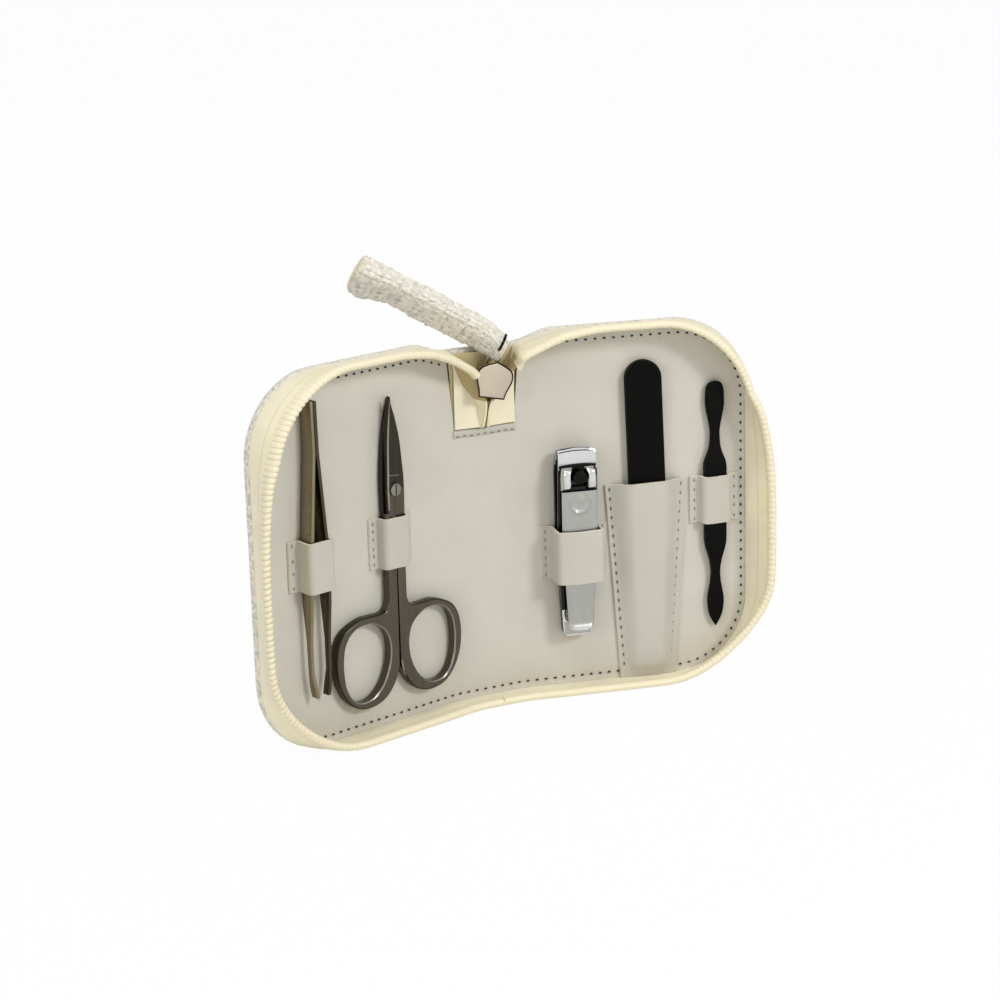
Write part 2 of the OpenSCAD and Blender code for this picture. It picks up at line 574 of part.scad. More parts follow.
function closed_curve(p, steps) = let(n = len(p))
    [for (i = [0:n - 1]) for (k = [0:steps - 1])
        between(p[(i + n - 1) % n], p[i], p[(i + 1) % n], p[(i + 2) % n], k / steps)];
module handle_outline() difference() {
    union() {
        translate([split, -shank_l]) square([shank_w - split, shank_l - 4]);
        polygon(concat([[split, -shank_l + 0.6 * ring_h], [shank_w, -shank_l + 0.6 * ring_h]],
            curve(ring_points(ring_edge, split, ring_w, ring_h), 5),
            [[split, -shank_l]]));
    }
    polygon(closed_curve(ring_points(ring_hole, shank_w + 0.3, ring_w - shank_w - 0.3 - ring_bar + split,
        ring_h - 1.7 * ring_bar), 4));
}
// Half of the scissors with its blade in the layer from n0 and its handle in both layers
module scissors_half(n0) difference() {
    union() {
        flat(n0, blade_t) {
            blade_outline();
            intersection() {
                circle(boss_r);
                translate([-3.4, -boss_r]) square([6, boss_r]);
            }
            intersection() {
                handle_outline();
                translate([0, -boss_r - 6]) square([9, 9]);
            }
        }
        flat(blade_n, scissors_t) difference() {
            handle_outline();
            circle(boss_r + 0.3);
        }
    }
    flat(0, 3 * scissors_t) circle(screw_r + 0.05);
}
module at_scissors() left_half() translate([scissors_u, 0, scissors_z]) children();
module scissors_blade_front() color(steel_colour) at_scissors()
    scissors_half(blade_n + blade_t + blade_gap);
module scissors_blade_back() color(steel_colour) at_scissors() mirror([1, 0, 0]) scissors_half(blade_n);
module scissors_screw() color(chrome_colour) at_scissors() difference() {
    union() {
        flat(blade_n + 0.1, scissors_t) circle(screw_r);
        flat(blade_n + scissors_t + touch, screw_head_t) circle(1.9 * screw_r);
    }
    flat(blade_n + scissors_t + 0.4, 1) square([0.5, 5 * screw_r], center = true);
}
scissors_strap_z = 50.4;
scissors_strap_h = 15.4;
module scissors_strap() left_half()
    loop_strap(scissors_u, scissors_strap_z, scissors_strap_h, 2 * shank_w + 0.4, blade_n + scissors_t);

// Clipper: two sprung jaws riveted at the foot, a pin through the head and a folded lever
clipper_n = tool_lift + 0.7;
clipper_top = clipper_z + clipper_l;
pin_z = clipper_top - 8.4;
rivet_z = clipper_z + 5;
rivet_r = 1.4;
edge_n = clipper_n + jaw_t + 1.3;
edge_gap = 1.5;
rivet_gap = 0.12;
upper_n = 6.4;
lever_n = 8.8;
lever_low = clipper_z + 3.2;
lever_top = clipper_top - 3.2;
lever_mid = mix(lever_low, lever_top, 0.52);
lever_foot = 0.32 * clipper_w;
lever_corner = 2;
emboss_z = pin_z - 8.2;
emboss_h = 4.4;
emboss_line = 0.7;
module jaw_outline() let(h = clipper_w / 2, f = 0.37 * clipper_w, wide_z = clipper_z + 0.5 * clipper_l)
    polygon(concat(
        arc([-f + 2, clipper_z + 2], 2, 270, 180, 5), [[-h, wide_z], [-h, pin_z], [-h + 0.3, clipper_top - 0.6]],
        curve([[-h + 0.3, clipper_top - 0.6], [0, clipper_top], [h - 0.3, clipper_top - 0.6]], 5),
        [[h, pin_z], [h, wide_z]], arc([f - 2, clipper_z + 2], 2, 0, -90, 5)));
module jaw(profile, hole_r) difference() {
    intersection() {
        flat(0, 2 * lever_n) jaw_outline();
        side(clipper_w, 2 * clipper_w) polygon(profile);
    }
    translate([0, 0, pin_z]) flat(0, 2 * lever_n) circle(hole_r);
    translate([0, 0, rivet_z]) flat(0, 2 * lever_n) circle(rivet_r + 0.05);
}
function jaw_profile(a, b) = concat(a, reversed(b));
lower_profile = let(n = clipper_n, t = jaw_t) jaw_profile(
    concat([[n, clipper_z]], curve([[n, clipper_top - 8], [n + 0.4, clipper_top - 4],
        [edge_n - 0.15, clipper_top]], 5)),
    concat([[n + t, clipper_z]], curve([[n + t, clipper_top - 8], [n + t + 0.3, clipper_top - 4.6],
        [edge_n - 0.1, clipper_top - 0.6]], 5)));
upper_profile = let(n = clipper_n + jaw_t + touch, t = jaw_t) jaw_profile(
    concat([[n, clipper_z], [n, clipper_z + 9]], curve([[n, clipper_z + 9], [upper_n - t, pin_z - 6],
        [upper_n - t, clipper_top - 5], [edge_n + edge_gap, clipper_top - 0.7]], 6)),
    concat([[n + t, clipper_z]], curve([[n + t, clipper_z + 8.6], [upper_n, pin_z - 6],
        [upper_n, clipper_top - 4.4], [edge_n + edge_gap + 0.15, clipper_top]], 6)));
module at_clipper() right_half() translate([clipper_u, 0, 0]) children();
module clipper_lower_jaw() color(chrome_colour) at_clipper() jaw(lower_profile, pin_r + 0.06);
module clipper_upper_jaw() color(chrome_colour) at_clipper() jaw(upper_profile, pin_r + 0.6);
module clipper_rivet() color(chrome_colour) at_clipper() translate([0, 0, rivet_z]) {
    flat(clipper_n - 0.4, 2 * jaw_t + 0.8 + rivet_gap) circle(rivet_r);
    flat(clipper_n - 0.5, 0.5) circle(rivet_r + 0.7);
    flat(clipper_n + 2 * jaw_t + rivet_gap, 0.5) circle(rivet_r + 0.7);
}
module clipper_pin() color(steel_colour) at_clipper() translate([0, 0, pin_z]) {
    flat(clipper_n - 0.6, lever_n + 1.1 - clipper_n) circle(pin_r);
    flat(clipper_n - 0.6, 0.5) circle(1.8 * pin_r);
    flat(lever_n + 0.1, 0.9) circle(1.75 * pin_r);
}
function lever_side(dn) = curve([[lever_n - 0.9 + dn, lever_top], [lever_n - 0.1 + dn, pin_z - 3],
    [lever_n - 0.3 + dn, lever_mid], [lever_n - 0.9 + dn, mix(lever_low, lever_mid, 0.28)],
    [lever_n - 0.7 + dn, lever_low]], 6);
module clipper_lever() color(chrome_colour) at_clipper() difference() {
    union() {
        intersection() {
            flat(0, 2 * lever_n) polygon(both_sides(concat(
                [[clipper_w / 2 - 0.8, lever_top], [clipper_w / 2 - 0.6, pin_z - 4],
                [clipper_w / 2 - 0.6, lever_mid], [lever_foot, lever_low + lever_corner]],
                arc([lever_foot - lever_corner, lever_low + lever_corner], lever_corner, 0, -90, 5))));
            side(clipper_w, 2 * clipper_w)
                polygon(concat(lever_side(-lever_t), reversed(lever_side(0))));
        }
        flat(lever_n - 0.6, 0.75) difference() {
            polygon(oval([0, emboss_z], 0.26 * clipper_w, emboss_h, 28));
            polygon(oval([0, emboss_z], 0.26 * clipper_w - emboss_line, emboss_h - emboss_line, 28));
            translate([-clipper_w, emboss_z + 1.2]) square([2 * clipper_w, 2 * emboss_h]);
        }
    }
    translate([0, 0, pin_z]) flat(0, 3 * lever_n) circle(pin_r + 0.35);
    flat(0, 3 * lever_n) translate([-pin_r - 0.35, pin_z]) square([2 * pin_r + 0.7, 9]);
}
clipper_strap_z = 36;
clipper_strap_h = 16.6;
module clipper_strap() right_half()
    loop_strap(clipper_u, clipper_strap_z, clipper_strap_h, clipper_w, lever_n);

// Nail file: moulded handle, flat blade hidden in the pocket
file_lean = -1.6;
file_n = tool_lift + 0.2;
blade_end = file_top - file_handle_l;
module at_file() right_half() translate([file_u, 0, pocket_top]) rotate([0, file_lean, 0])
    translate([0, 0, -pocket_top]) children();
tang_t = file_blade_t + 0.06;
module file_handle() color(black_colour) at_file() difference() {
    union() {
        flat(file_n, file_t) {
            translate([-file_w / 2, blade_end]) square([file_w, file_handle_l - file_w / 2]);
            translate([0, file_top - file_w / 2]) circle(file_w / 2);
        }
        flat(file_n + file_t, 0.3) translate([0, file_top - file_w / 2]) difference() {
            circle(file_w / 2 - 0.5);
            circle(file_w / 2 - 1.3);
            translate([-file_w, -2 * file_w]) square([2 * file_w, 2 * file_w]);
        }
    }
    flat(file_n + (file_t - tang_t) / 2, tang_t)
        translate([-0.36 * file_w - 0.05, blade_end - 1]) square([0.72 * file_w + 0.1, 13]);
}
module file_blade() color(steel_colour) at_file()
    flat(file_n + (file_t - file_blade_t) / 2, file_blade_t) polygon(both_sides(concat(
        [[0.36 * file_w, blade_end + 11.9]], curve([[0.36 * file_w, file_tip + 18],
        [0.28 * file_w, file_tip + 7], [0.9, file_tip]], 5))));
pocket_foot = 4.6;
pocket_rows = 8;
pocket_cols = 14;
function pocket_sheet(lift) = [for (r = [0:pocket_rows]) let(
    k = r / pocket_rows, w = mix(pocket_foot_w, pocket_w, k), b = mix(2.4, pocket_bulge, k))
    [for (c = [0:pocket_cols]) let(s = 2 * c / pocket_cols - 1, m = min(1, max(0, (abs(s) - 0.42) / 0.46)))
        [file_u + s * w / 2, -lift - (1 + cos(180 * m)) / 2 * b, mix(pocket_foot, pocket_top, k)]]];
module file_pocket() color(lining_colour) right_half() sheet(pocket_sheet(0), pocket_sheet(strap_t));

// Cuticle pusher: round spatula above, leaf point below, broad grip between two necks
pusher_n = tool_lift + pusher_t / 2;
pusher_half = [[0, 1], [0.28, 0.992], [0.42, 0.965], [0.43, 0.9], [0.26, 0.83], [0.2, 0.79], [0.26, 0.73],
    [0.5, 0.67], [0.5, 0.6], [0.5, 0.42], [0.48, 0.345], [0.28, 0.28], [0.2, 0.23], [0.25, 0.18],
    [0.38, 0.115], [0.3, 0.05], [0, 0]];
pusher_side = [[0.3, 1], [0.5, 0.88], [0.85, 0.79], [1, 0.66], [1, 0.36], [0.85, 0.24], [0.55, 0.12],
    [0.28, 0]];
module cuticle_pusher() color(black_colour) right_half() translate([pusher_u, 0, 0]) intersection() {
    flat(0, 2 * pusher_n) polygon(both_sides(curve([for (q = pusher_half)
        [q[0] * pusher_w, pusher_z + q[1] * pusher_l]], 4)));
    side(pusher_w, 2 * pusher_w) let(e = curve([for (q = pusher_side)
        [q[0] * pusher_t / 2, pusher_z + q[1] * pusher_l]], 4))
        translate([pusher_n, 0]) polygon(both_sides(e));
}
pusher_strap_z = 49.4;
pusher_strap_h = 15;
module pusher_strap() right_half()
    loop_strap(pusher_u, pusher_strap_z, pusher_strap_h, pusher_w, tool_lift + pusher_t);

spine_cover();
spine_padding();
spine_lining();
zip_garage();
zip_tail_left();
zip_tail_right();
zip_chain();
slider_body();
gusset_top_left();
gusset_top_right();
gusset_bottom_left();
gusset_bottom_right();
cover_left();
board_left();
lining_left();
zip_tape_left();
zip_teeth_left();
tweezers_strap();
scissors_strap();
cover_right();
board_right();
lining_right();
zip_tape_right();
zip_teeth_right();
clipper_strap();
file_pocket();
pusher_strap();
tweezers_arm_left();
tweezers_arm_right();
scissors_blade_front();
scissors_blade_back();
scissors_screw();
clipper_lower_jaw();
clipper_upper_jaw();
clipper_rivet();
clipper_pin();
clipper_lever();
file_handle();
file_blade();
cuticle_pusher();
puller_link();
pull_clamp();
pull_strap();
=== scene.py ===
# Zip-round manicure set case, standing open on its bottom edge: its looks, light and camera.
# Shapes are worked out in millimetres in the model's own frame, and become metres when a mesh is made.
# X runs along the open case, -Y faces the viewer and +Z is up.
# On a half, u is the distance from its fold, n the height above the lining and z the height.

import math

import bmesh
import bpy
import numpy as np
from bpy.props import FloatProperty, FloatVectorProperty, IntProperty, PointerProperty
from mathutils import Matrix, Vector


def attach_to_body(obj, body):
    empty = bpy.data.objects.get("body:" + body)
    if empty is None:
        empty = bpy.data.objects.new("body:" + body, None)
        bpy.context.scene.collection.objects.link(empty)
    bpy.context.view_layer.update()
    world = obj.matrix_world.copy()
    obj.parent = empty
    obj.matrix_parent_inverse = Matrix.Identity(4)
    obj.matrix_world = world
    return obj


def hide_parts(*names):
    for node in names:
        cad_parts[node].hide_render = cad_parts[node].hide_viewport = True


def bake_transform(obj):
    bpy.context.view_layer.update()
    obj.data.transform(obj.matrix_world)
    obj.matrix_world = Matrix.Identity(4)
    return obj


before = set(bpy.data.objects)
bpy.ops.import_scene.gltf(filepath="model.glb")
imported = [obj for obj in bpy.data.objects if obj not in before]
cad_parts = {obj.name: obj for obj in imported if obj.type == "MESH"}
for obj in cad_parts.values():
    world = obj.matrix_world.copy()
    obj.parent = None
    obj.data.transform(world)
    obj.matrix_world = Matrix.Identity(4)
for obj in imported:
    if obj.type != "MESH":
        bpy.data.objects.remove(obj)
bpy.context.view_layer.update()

bl_info = {
    "name": "Zip-round manicure case",
    "version": (1, 0, 0),
    "blender": (4, 5, 0),
    "location": "3D View > Sidebar > Manicure case",
    "description": "Dresses the packed model of an open manicure set case",
    "category": "Object",
}

MM = 0.001
SIDES = {"left": -1, "right": 1}

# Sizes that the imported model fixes, in millimetres and degrees
HALF_W = 74.4
CASE_H = 114.6
CORNER_R = 24.5
SPINE_W = 22.7
SPINE_DROP = 3.4
LINING_Y = -1.6
LAYERS_T = 3.2
FOLD = {"left": 15.0, "right": 12.8}
FLARE = {"left": 4.4, "right": 5.4}
TOP_FLARE = 1.8
RIM_R = 31.0
RIM_DIP = 1.8
DIP_START = 26.0
WALL_START = 12.5
TAPE_H = 9.6
TAPE_T = 0.8
WINDOW_X, WINDOW_W, WINDOW_Z = 0.6, 19.6, 86.3
SLIDER_X, SLIDER_Z, SLIDER_TILT = 1.2, 102.0, 13.0
STRAP_T = 0.9
STRAP_FOOT = 3.0
STRAP_PLAY = 0.45
POCKET_U, POCKET_LOW, POCKET_FOOT, POCKET_TOP = 41.0, 0.9, 4.6, 64.0
TWEEZERS_U, TWEEZERS_TOP, TWEEZERS_L = 55.0, 106.4, 89
SCISSORS_U, SCREW_Z, BLADE_T = 24.8, 74.2, 1.6
CLIPPER_U, LEVER_LOW, PIN_Z = 17.4, 20.6, 69.6
PUSHER_U = 63.2
PULL_EYE = (3.650, -7.757, 112.611)
PULL_RISE, PULL_TURN, PULL_ROLL = 30, 25, 49
PULL_L, PULL_W, PULL_T = 48.6, 11.6, 6.8

# Cloth: half the length of its bend at a fold, how much of the standing tape's height holds back with the
# spine there, the height above which the top edge drops to the spine, and the stretch where the weave fades
BEND = 3.0
SLACK = 0.05
DROP_FROM = 60
WEAVE_FADE = 1.2
WEAVE_PHASE = 500.0


def linear(code):
    """Linear colour of an sRGB hex value."""
    parts = [int(code[i : i + 2], 16) / 255 for i in (1, 3, 5)]
    return [c / 12.92 if c <= 0.04045 else ((c + 0.055) / 1.055) ** 2.4 for c in parts]


def mix(a, b, t):
    """Value at the share t of the way from a to b."""
    return a + (b - a) * t


def unit(v):
    """Direction of v, with length 1."""
    return np.array(v, dtype=float) / np.linalg.norm(v)


def smooth(t):
    """Soft step: 0 up to t = 0, 1 from t = 1."""
    t = min(1.0, max(0.0, t))
    return t * t * (3 - 2 * t)


# ---------------------------------------------------------------- settings


class CaseSizes(bpy.types.PropertyGroup):
    """Sizes of the case's cloth, stitches and zip, in millimetres."""

    weave_pitch: FloatProperty(
        name="Weave", description="Width of one strand of the woven cover", default=2.2, min=1.2, max=4
    )
    weave_relief: FloatProperty(
        name="Weave relief", description="How far a strand stands above the gaps", default=0.32, min=0, max=0.6
    )
    stitch_pitch: FloatProperty(
        name="Stitches", description="Distance from one lining stitch to the next", default=2.94, min=2, max=5
    )
    tooth_pitch: FloatProperty(
        name="Teeth", description="Distance from one zip tooth to the next", default=1.7, min=1.2, max=3
    )
    tape_steps: IntProperty(
        name="Tape steps", description="Mesh steps across the zip tape", default=8, min=4, max=16
    )


class CaseColours(bpy.types.PropertyGroup):
    """Colours of the case and its tools."""

    weave: FloatVectorProperty(
        name="Woven cover", description="Colour of the cover's strands", subtype="COLOR", size=3, min=0, max=1,
        default=linear("#E6E1D3"),
    )
    lining: FloatVectorProperty(
        name="Lining", description="Colour of the leatherette", subtype="COLOR", size=3, min=0, max=1,
        default=linear("#C8C4B8"),
    )
    tape: FloatVectorProperty(
        name="Zip tape", description="Colour of the zip's tape and teeth", subtype="COLOR", size=3, min=0, max=1,
        default=linear("#EAE3C9"),
    )
    steel: FloatVectorProperty(
        name="Tool steel", description="Colour of the darkened steel", subtype="COLOR", size=3, min=0, max=1,
        default=linear("#5E594F"),
    )


# ---------------------------------------------------------------- mesh making


def joined(parts):
    """One list of points, faces, UVs and material numbers from several such lists."""
    points, faces, uvs, mats = [], [], [], []
    for p, f, u, m in parts:
        start = len(points)
        points += list(p)
        uvs += list(u)
        faces += [tuple(i + start for i in face) for face in f]
        mats += list(m)
    return points, faces, uvs, mats


def new_piece(name, parts, coats, sharp=60, side=1):
    """Mesh object from parts in millimetres, in the named finishes, mirrored in X where side is -1."""
    points, faces, uvs, mats = joined(parts)
    mesh = bpy.data.meshes.new(name)
    if side < 0:
        faces = [tuple(reversed(f)) for f in faces]
    mesh.from_pydata([(p[0] * side * MM, p[1] * MM, p[2] * MM) for p in points], [], faces)
    layer = mesh.uv_layers.new(name="UVMap")
    loops = np.empty(len(mesh.loops), dtype=np.int32)
    mesh.loops.foreach_get("vertex_index", loops)
    layer.data.foreach_set("uv", (np.array(uvs, dtype=np.float32) * MM)[loops].ravel())
    for coat in coats:
        mesh.materials.append(finish(coat))
    mesh.polygons.foreach_set("material_index", np.array(mats, dtype=np.int32))
    mesh.shade_smooth()
    mesh.set_sharp_from_angle(angle=math.radians(sharp))
    mesh.validate()
    obj = bpy.data.objects.new(name, mesh)
    bpy.context.scene.collection.objects.link(obj)
    return obj


def lattice(firsts, seconds, at):
    """Rows of points and rows of UVs, from at(first, second), which gives a point and its UV."""
    pairs = [[at(i, k) for k in seconds] for i in firsts]
    return [[p for p, _ in row] for row in pairs], [[uv for _, uv in row] for row in pairs]


def grid(rows, uv_rows, mat=0, wrap=False):
    """Faces over rows of points, closed round each row where wrap is set."""
    cols = len(rows[0])
    points = [p for row in rows for p in row]
    uvs = [p for row in uv_rows for p in row]
    last = cols if wrap else cols - 1
    faces = [
        (r * cols + c, r * cols + (c + 1) % cols, (r + 1) * cols + (c + 1) % cols, (r + 1) * cols + c)
        for r in range(len(rows) - 1)
        for c in range(last)
    ]
    return points, faces, uvs, [mat] * len(faces)


def normals(rows):
    """Unit normals of a sheet of points, across the rows and then along them."""
    a = np.array(rows, dtype=float)
    along = np.gradient(a, axis=0)
    across = np.gradient(a, axis=1)
    n = np.cross(across, along)
    return n / np.maximum(np.linalg.norm(n, axis=2, keepdims=True), 1e-9)


def thick_sheet(rows, uv_rows, t, mat=0, edge_mat=0):
    """Closed sheet of thickness t between rows of points and the same rows moved along their normals."""
    a = np.array(rows, dtype=float)
    inner = a + t * normals(rows)
    R, C = a.shape[:2]
    points = [tuple(p) for p in a.reshape(-1, 3)] + [tuple(p) for p in inner.reshape(-1, 3)]
    uvs = [p for row in uv_rows for p in row] * 2
    half = R * C
    faces, mats = [], []
    for r in range(R - 1):
        for c in range(C - 1):
            q = (r * C + c, r * C + c + 1, (r + 1) * C + c + 1, (r + 1) * C + c)
            faces.append(q)
            faces.append(tuple(half + i for i in reversed(q)))
            mats += [mat, mat]
    ring = (
        [(c, c + 1) for c in range(C - 1)]
        + [(r * C + C - 1, (r + 1) * C + C - 1) for r in range(R - 1)]
        + [((R - 1) * C + c, (R - 1) * C + c - 1) for c in range(C - 1, 0, -1)]
        + [(r * C, (r - 1) * C) for r in range(R - 1, 0, -1)]
    )
    for i, j in ring:
        faces.append((j, i, half + i, half + j))
        mats.append(edge_mat)
    return points, faces, uvs, mats


def catmull(stations, steps):
    """Smooth rows through a list of rows of points, with steps between each pair."""
    s = [np.array(row, dtype=float) for row in stations]
    out = []
    for i in range(len(s) - 1):
        a, b, c, d = s[max(i - 1, 0)], s[i], s[i + 1], s[min(i + 2, len(s) - 1)]
        for k in range(steps):
            t = k / steps
            out.append(
                0.5 * (2 * b + (c - a) * t + (2 * a - 5 * b + 4 * c - d) * t * t + (3 * b - a - 3 * c + d) * t**3)
            )
    out.append(s[-1])
    return out


def lengths(points):
    """Running length along a line of points."""
    p = np.array(points, dtype=float)
    return np.concatenate([[0.0], np.cumsum(np.linalg.norm(np.diff(p, axis=0), axis=1))])


def tube(path, radii, sides, closed=False, up=(0, 1, 0)):
    """Tube along a path, with a radius at each point; its sides are counted from the direction up."""
    p = np.array(path, dtype=float)
    n = len(p)
    tangent = np.roll(p, -1, 0) - np.roll(p, 1, 0) if closed else np.gradient(p, axis=0)
    tangent /= np.linalg.norm(tangent, axis=1, keepdims=True)
    up = np.array(up, dtype=float)
    rows, uv_rows, run = [], [], lengths(p)
    for i in range(n):
        b = up - tangent[i] * (up @ tangent[i])
        b /= np.linalg.norm(b)
        c = np.cross(tangent[i], b)
        ang = [2 * math.pi * k / sides for k in range(sides)]
        rows.append([tuple(p[i] + radii[i] * (math.cos(a) * c + math.sin(a) * b)) for a in ang])
        uv_rows.append([(run[i], a * radii[i]) for a in ang])
    if closed:
        rows.append(rows[0])
        uv_rows.append(uv_rows[0])
    points, faces, uvs, mats = grid(rows, uv_rows, wrap=True)
    if not closed:
        last = (len(rows) - 1) * sides
        faces += [tuple(reversed(range(sides))), tuple(range(last, last + sides))]
        mats += [0, 0]
    return points, faces, uvs, mats


SHARP_EDGE, FLAT_ENOUGH, SHADED_FLAT = math.radians(38), math.radians(2), math.radians(32)


def refined(node, name, coats, rounds=((None, 0.15, 2),), edge_mat=-1):
    """Copy of a CAD solid with its flat faces joined and its edges rounded. rounds lists (test of an edge's
    middle in mm, bevel width, segments); edge_mat is the material number of the rounded edges."""
    obj = bpy.data.objects.new(name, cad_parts[node].data.copy())
    obj.data.name = name
    bpy.context.scene.collection.objects.link(obj)
    bm = bmesh.new()
    bm.from_mesh(obj.data)
    bmesh.ops.remove_doubles(bm, verts=bm.verts, dist=2e-6)
    bmesh.ops.dissolve_limit(bm, angle_limit=FLAT_ENOUGH, verts=bm.verts, edges=bm.edges)
    for f in bm.faces:
        f.material_index = 0
    for test, width, segments in rounds:
        edges = [
            e for e in bm.edges
            if e.is_manifold and e.calc_face_angle(0) > SHARP_EDGE
            and (test is None or test((e.verts[0].co + e.verts[1].co) / 2 / MM))
        ]
        if width and edges:
            bmesh.ops.bevel(bm, geom=edges, offset=width * MM, segments=segments, profile=0.55, affect="EDGES",
                            clamp_overlap=True, material=edge_mat)
    bm.to_mesh(obj.data)
    bm.free()
    obj.data.materials.clear()
    for coat in coats:
        obj.data.materials.append(finish(coat))
    obj.data.shade_smooth()
    obj.data.set_sharp_from_angle(angle=SHADED_FLAT)
    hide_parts(node)
    return obj


# ---------------------------------------------------------------- places on the case


def at_half(side, u, n, z):
    """Place of a point of a half, drawn as if on the right."""
    a = math.radians(FOLD[side])
    return (SPINE_W / 2 + u * math.cos(a) - n * math.sin(a), LINING_Y - u * math.sin(a) - n * math.cos(a), z)


def place(side, u, n, z):
    """World place on a half, on its own side."""
    p = at_half(side, u, n, z)
    return (p[0] * SIDES[side], p[1], p[2])


def at_spine(x, n, z):
    """Place at x across the spine, n above its lining."""
    return (x, LINING_Y - n, z)


def on_layers(side, q, n, z):
    """Point at a distance q from the fold along the case's layers: in the half where q is over 0, in the
    spine where it is under, and on a soft bend between them."""
    if q <= -BEND:
        return at_spine(SPINE_W / 2 + q, n, z)
    if q >= BEND:
        return at_half(side, q, n, z)
    a = math.radians(FOLD[side])
    t = (q + BEND) / (2 * BEND)
    p0 = np.array([SPINE_W / 2 - BEND, LINING_Y])
    c = np.array([SPINE_W / 2, LINING_Y])
    p1 = c + BEND * np.array([math.cos(a), -math.sin(a)])
    p = (1 - t) ** 2 * p0 + 2 * t * (1 - t) * c + t * t * p1
    d = (1 - t) * (c - p0) + t * (p1 - c)
    d /= np.linalg.norm(d)
    return (p[0] + n * d[1], p[1] - n * d[0], z)


def outline_u(z, inset):
    """Half width of the case at height z, drawn in by inset."""
    r = CORNER_R - inset
    dz = max(CORNER_R - z, z - (CASE_H - CORNER_R), 0.0)
    return HALF_W - CORNER_R + math.sqrt(max(r * r - dz * dz, 0.0))


def drop_at(q, z=CASE_H):
    """Drop of the case's upper part towards the spine."""
    return SPINE_DROP * (1 - smooth((q + 1.0) / (WALL_START + 1.0))) * smooth((z - DROP_FROM) / (CASE_H - DROP_FROM))


def corner_rows(lo, hi, r, straight, steps):
    """Heights from lo to hi, closer together in the corners of radius r."""
    low = [lo + r * (1 - math.cos(math.pi / 2 * i / steps)) for i in range(steps)]
    mid = [mix(lo + r, hi - r, i / straight) for i in range(straight)]
    high = [hi - r + r * math.sin(math.pi / 2 * i / steps) for i in range(steps + 1)]
    return low + mid + high


def weave_height(x, y, pitch):
    """Height from 0 to 1 of a basket weave at x, y; strands cross over and under by turns."""
    a, b = np.asarray(x) / pitch, np.asarray(y) / pitch
    i, j = np.floor(a), np.floor(b)
    fa, fb = np.abs(2 * (a - i) - 1), np.abs(2 * (b - j) - 1)
    over = ((i + j) % 2) == 0
    across, along = np.where(over, fb, fa), np.where(over, fa, fb)
    return (1 - across**3) * (1 - 0.45 * along**2)


def corner(mid, z, r, start, steps):
    """Quarter turn from the direction start, as (u, z, direction it faces)."""
    for i in range(steps + 1):
        a = mix(start, start + 90, i / steps)
        yield mid + r * math.cos(math.radians(a)), z + r * math.sin(math.radians(a)), a


def wall_path(r, steps=28, straight=18, top=10):
    """Path of a side wall as (u, z, direction it faces), from the bottom round to the top."""
    mid = HALF_W - r
    out = [(mix(WALL_START, mid, i / straight), 0.0, -90.0) for i in range(straight)]
    out += corner(mid, r, r, -90, steps)
    out += [(mid + r, mix(r, CASE_H - r, i / straight), 0.0) for i in range(1, straight)]
    out += corner(mid, CASE_H - r, r, 0, steps)
    out += [(mix(mid, DIP_START, i / top), CASE_H, 90.0) for i in range(1, top)]
    out += [(mix(DIP_START, WALL_START, i / top), CASE_H, 90.0) for i in range(top + 1)]
    return out


def lean(p, k, flare):
    """Lean of a wall's point: out along the outer side, up along the top, down at the top's end."""
    side_k = max(0.0, 1 - (abs(p[1] - 0.42 * CASE_H) / (0.38 * CASE_H)) ** 3)
    dip = 0.0 if p[2] < 90 else RIM_DIP * (max(0.0, DIP_START - p[0]) / (DIP_START - WALL_START)) ** 1.5
    a = math.radians(p[2])
    up = TOP_FLARE * max(0.0, math.sin(a)) ** 2 - dip
    return (p[0] + k * flare * side_k * math.cos(a) ** 2, p[1] + k * up)


def wall_row(side, share):
    """Wall's line at that share of the tape's height, as (u, n, z)."""
    k = share**1.3
    path = wall_path(mix(CORNER_R, RIM_R, k))
    return [(q[0], share * TAPE_H, q[1]) for q in (lean(p, k, FLARE[side]) for p in path)]


def three_to_many(points, steps):
    """Points along the two straight lines through three points."""
    a, b, c = (np.array(p, dtype=float) for p in points)
    h = steps // 2
    return [mix(a, b, i / h) for i in range(h)] + [mix(b, c, i / h) for i in range(h + 1)]


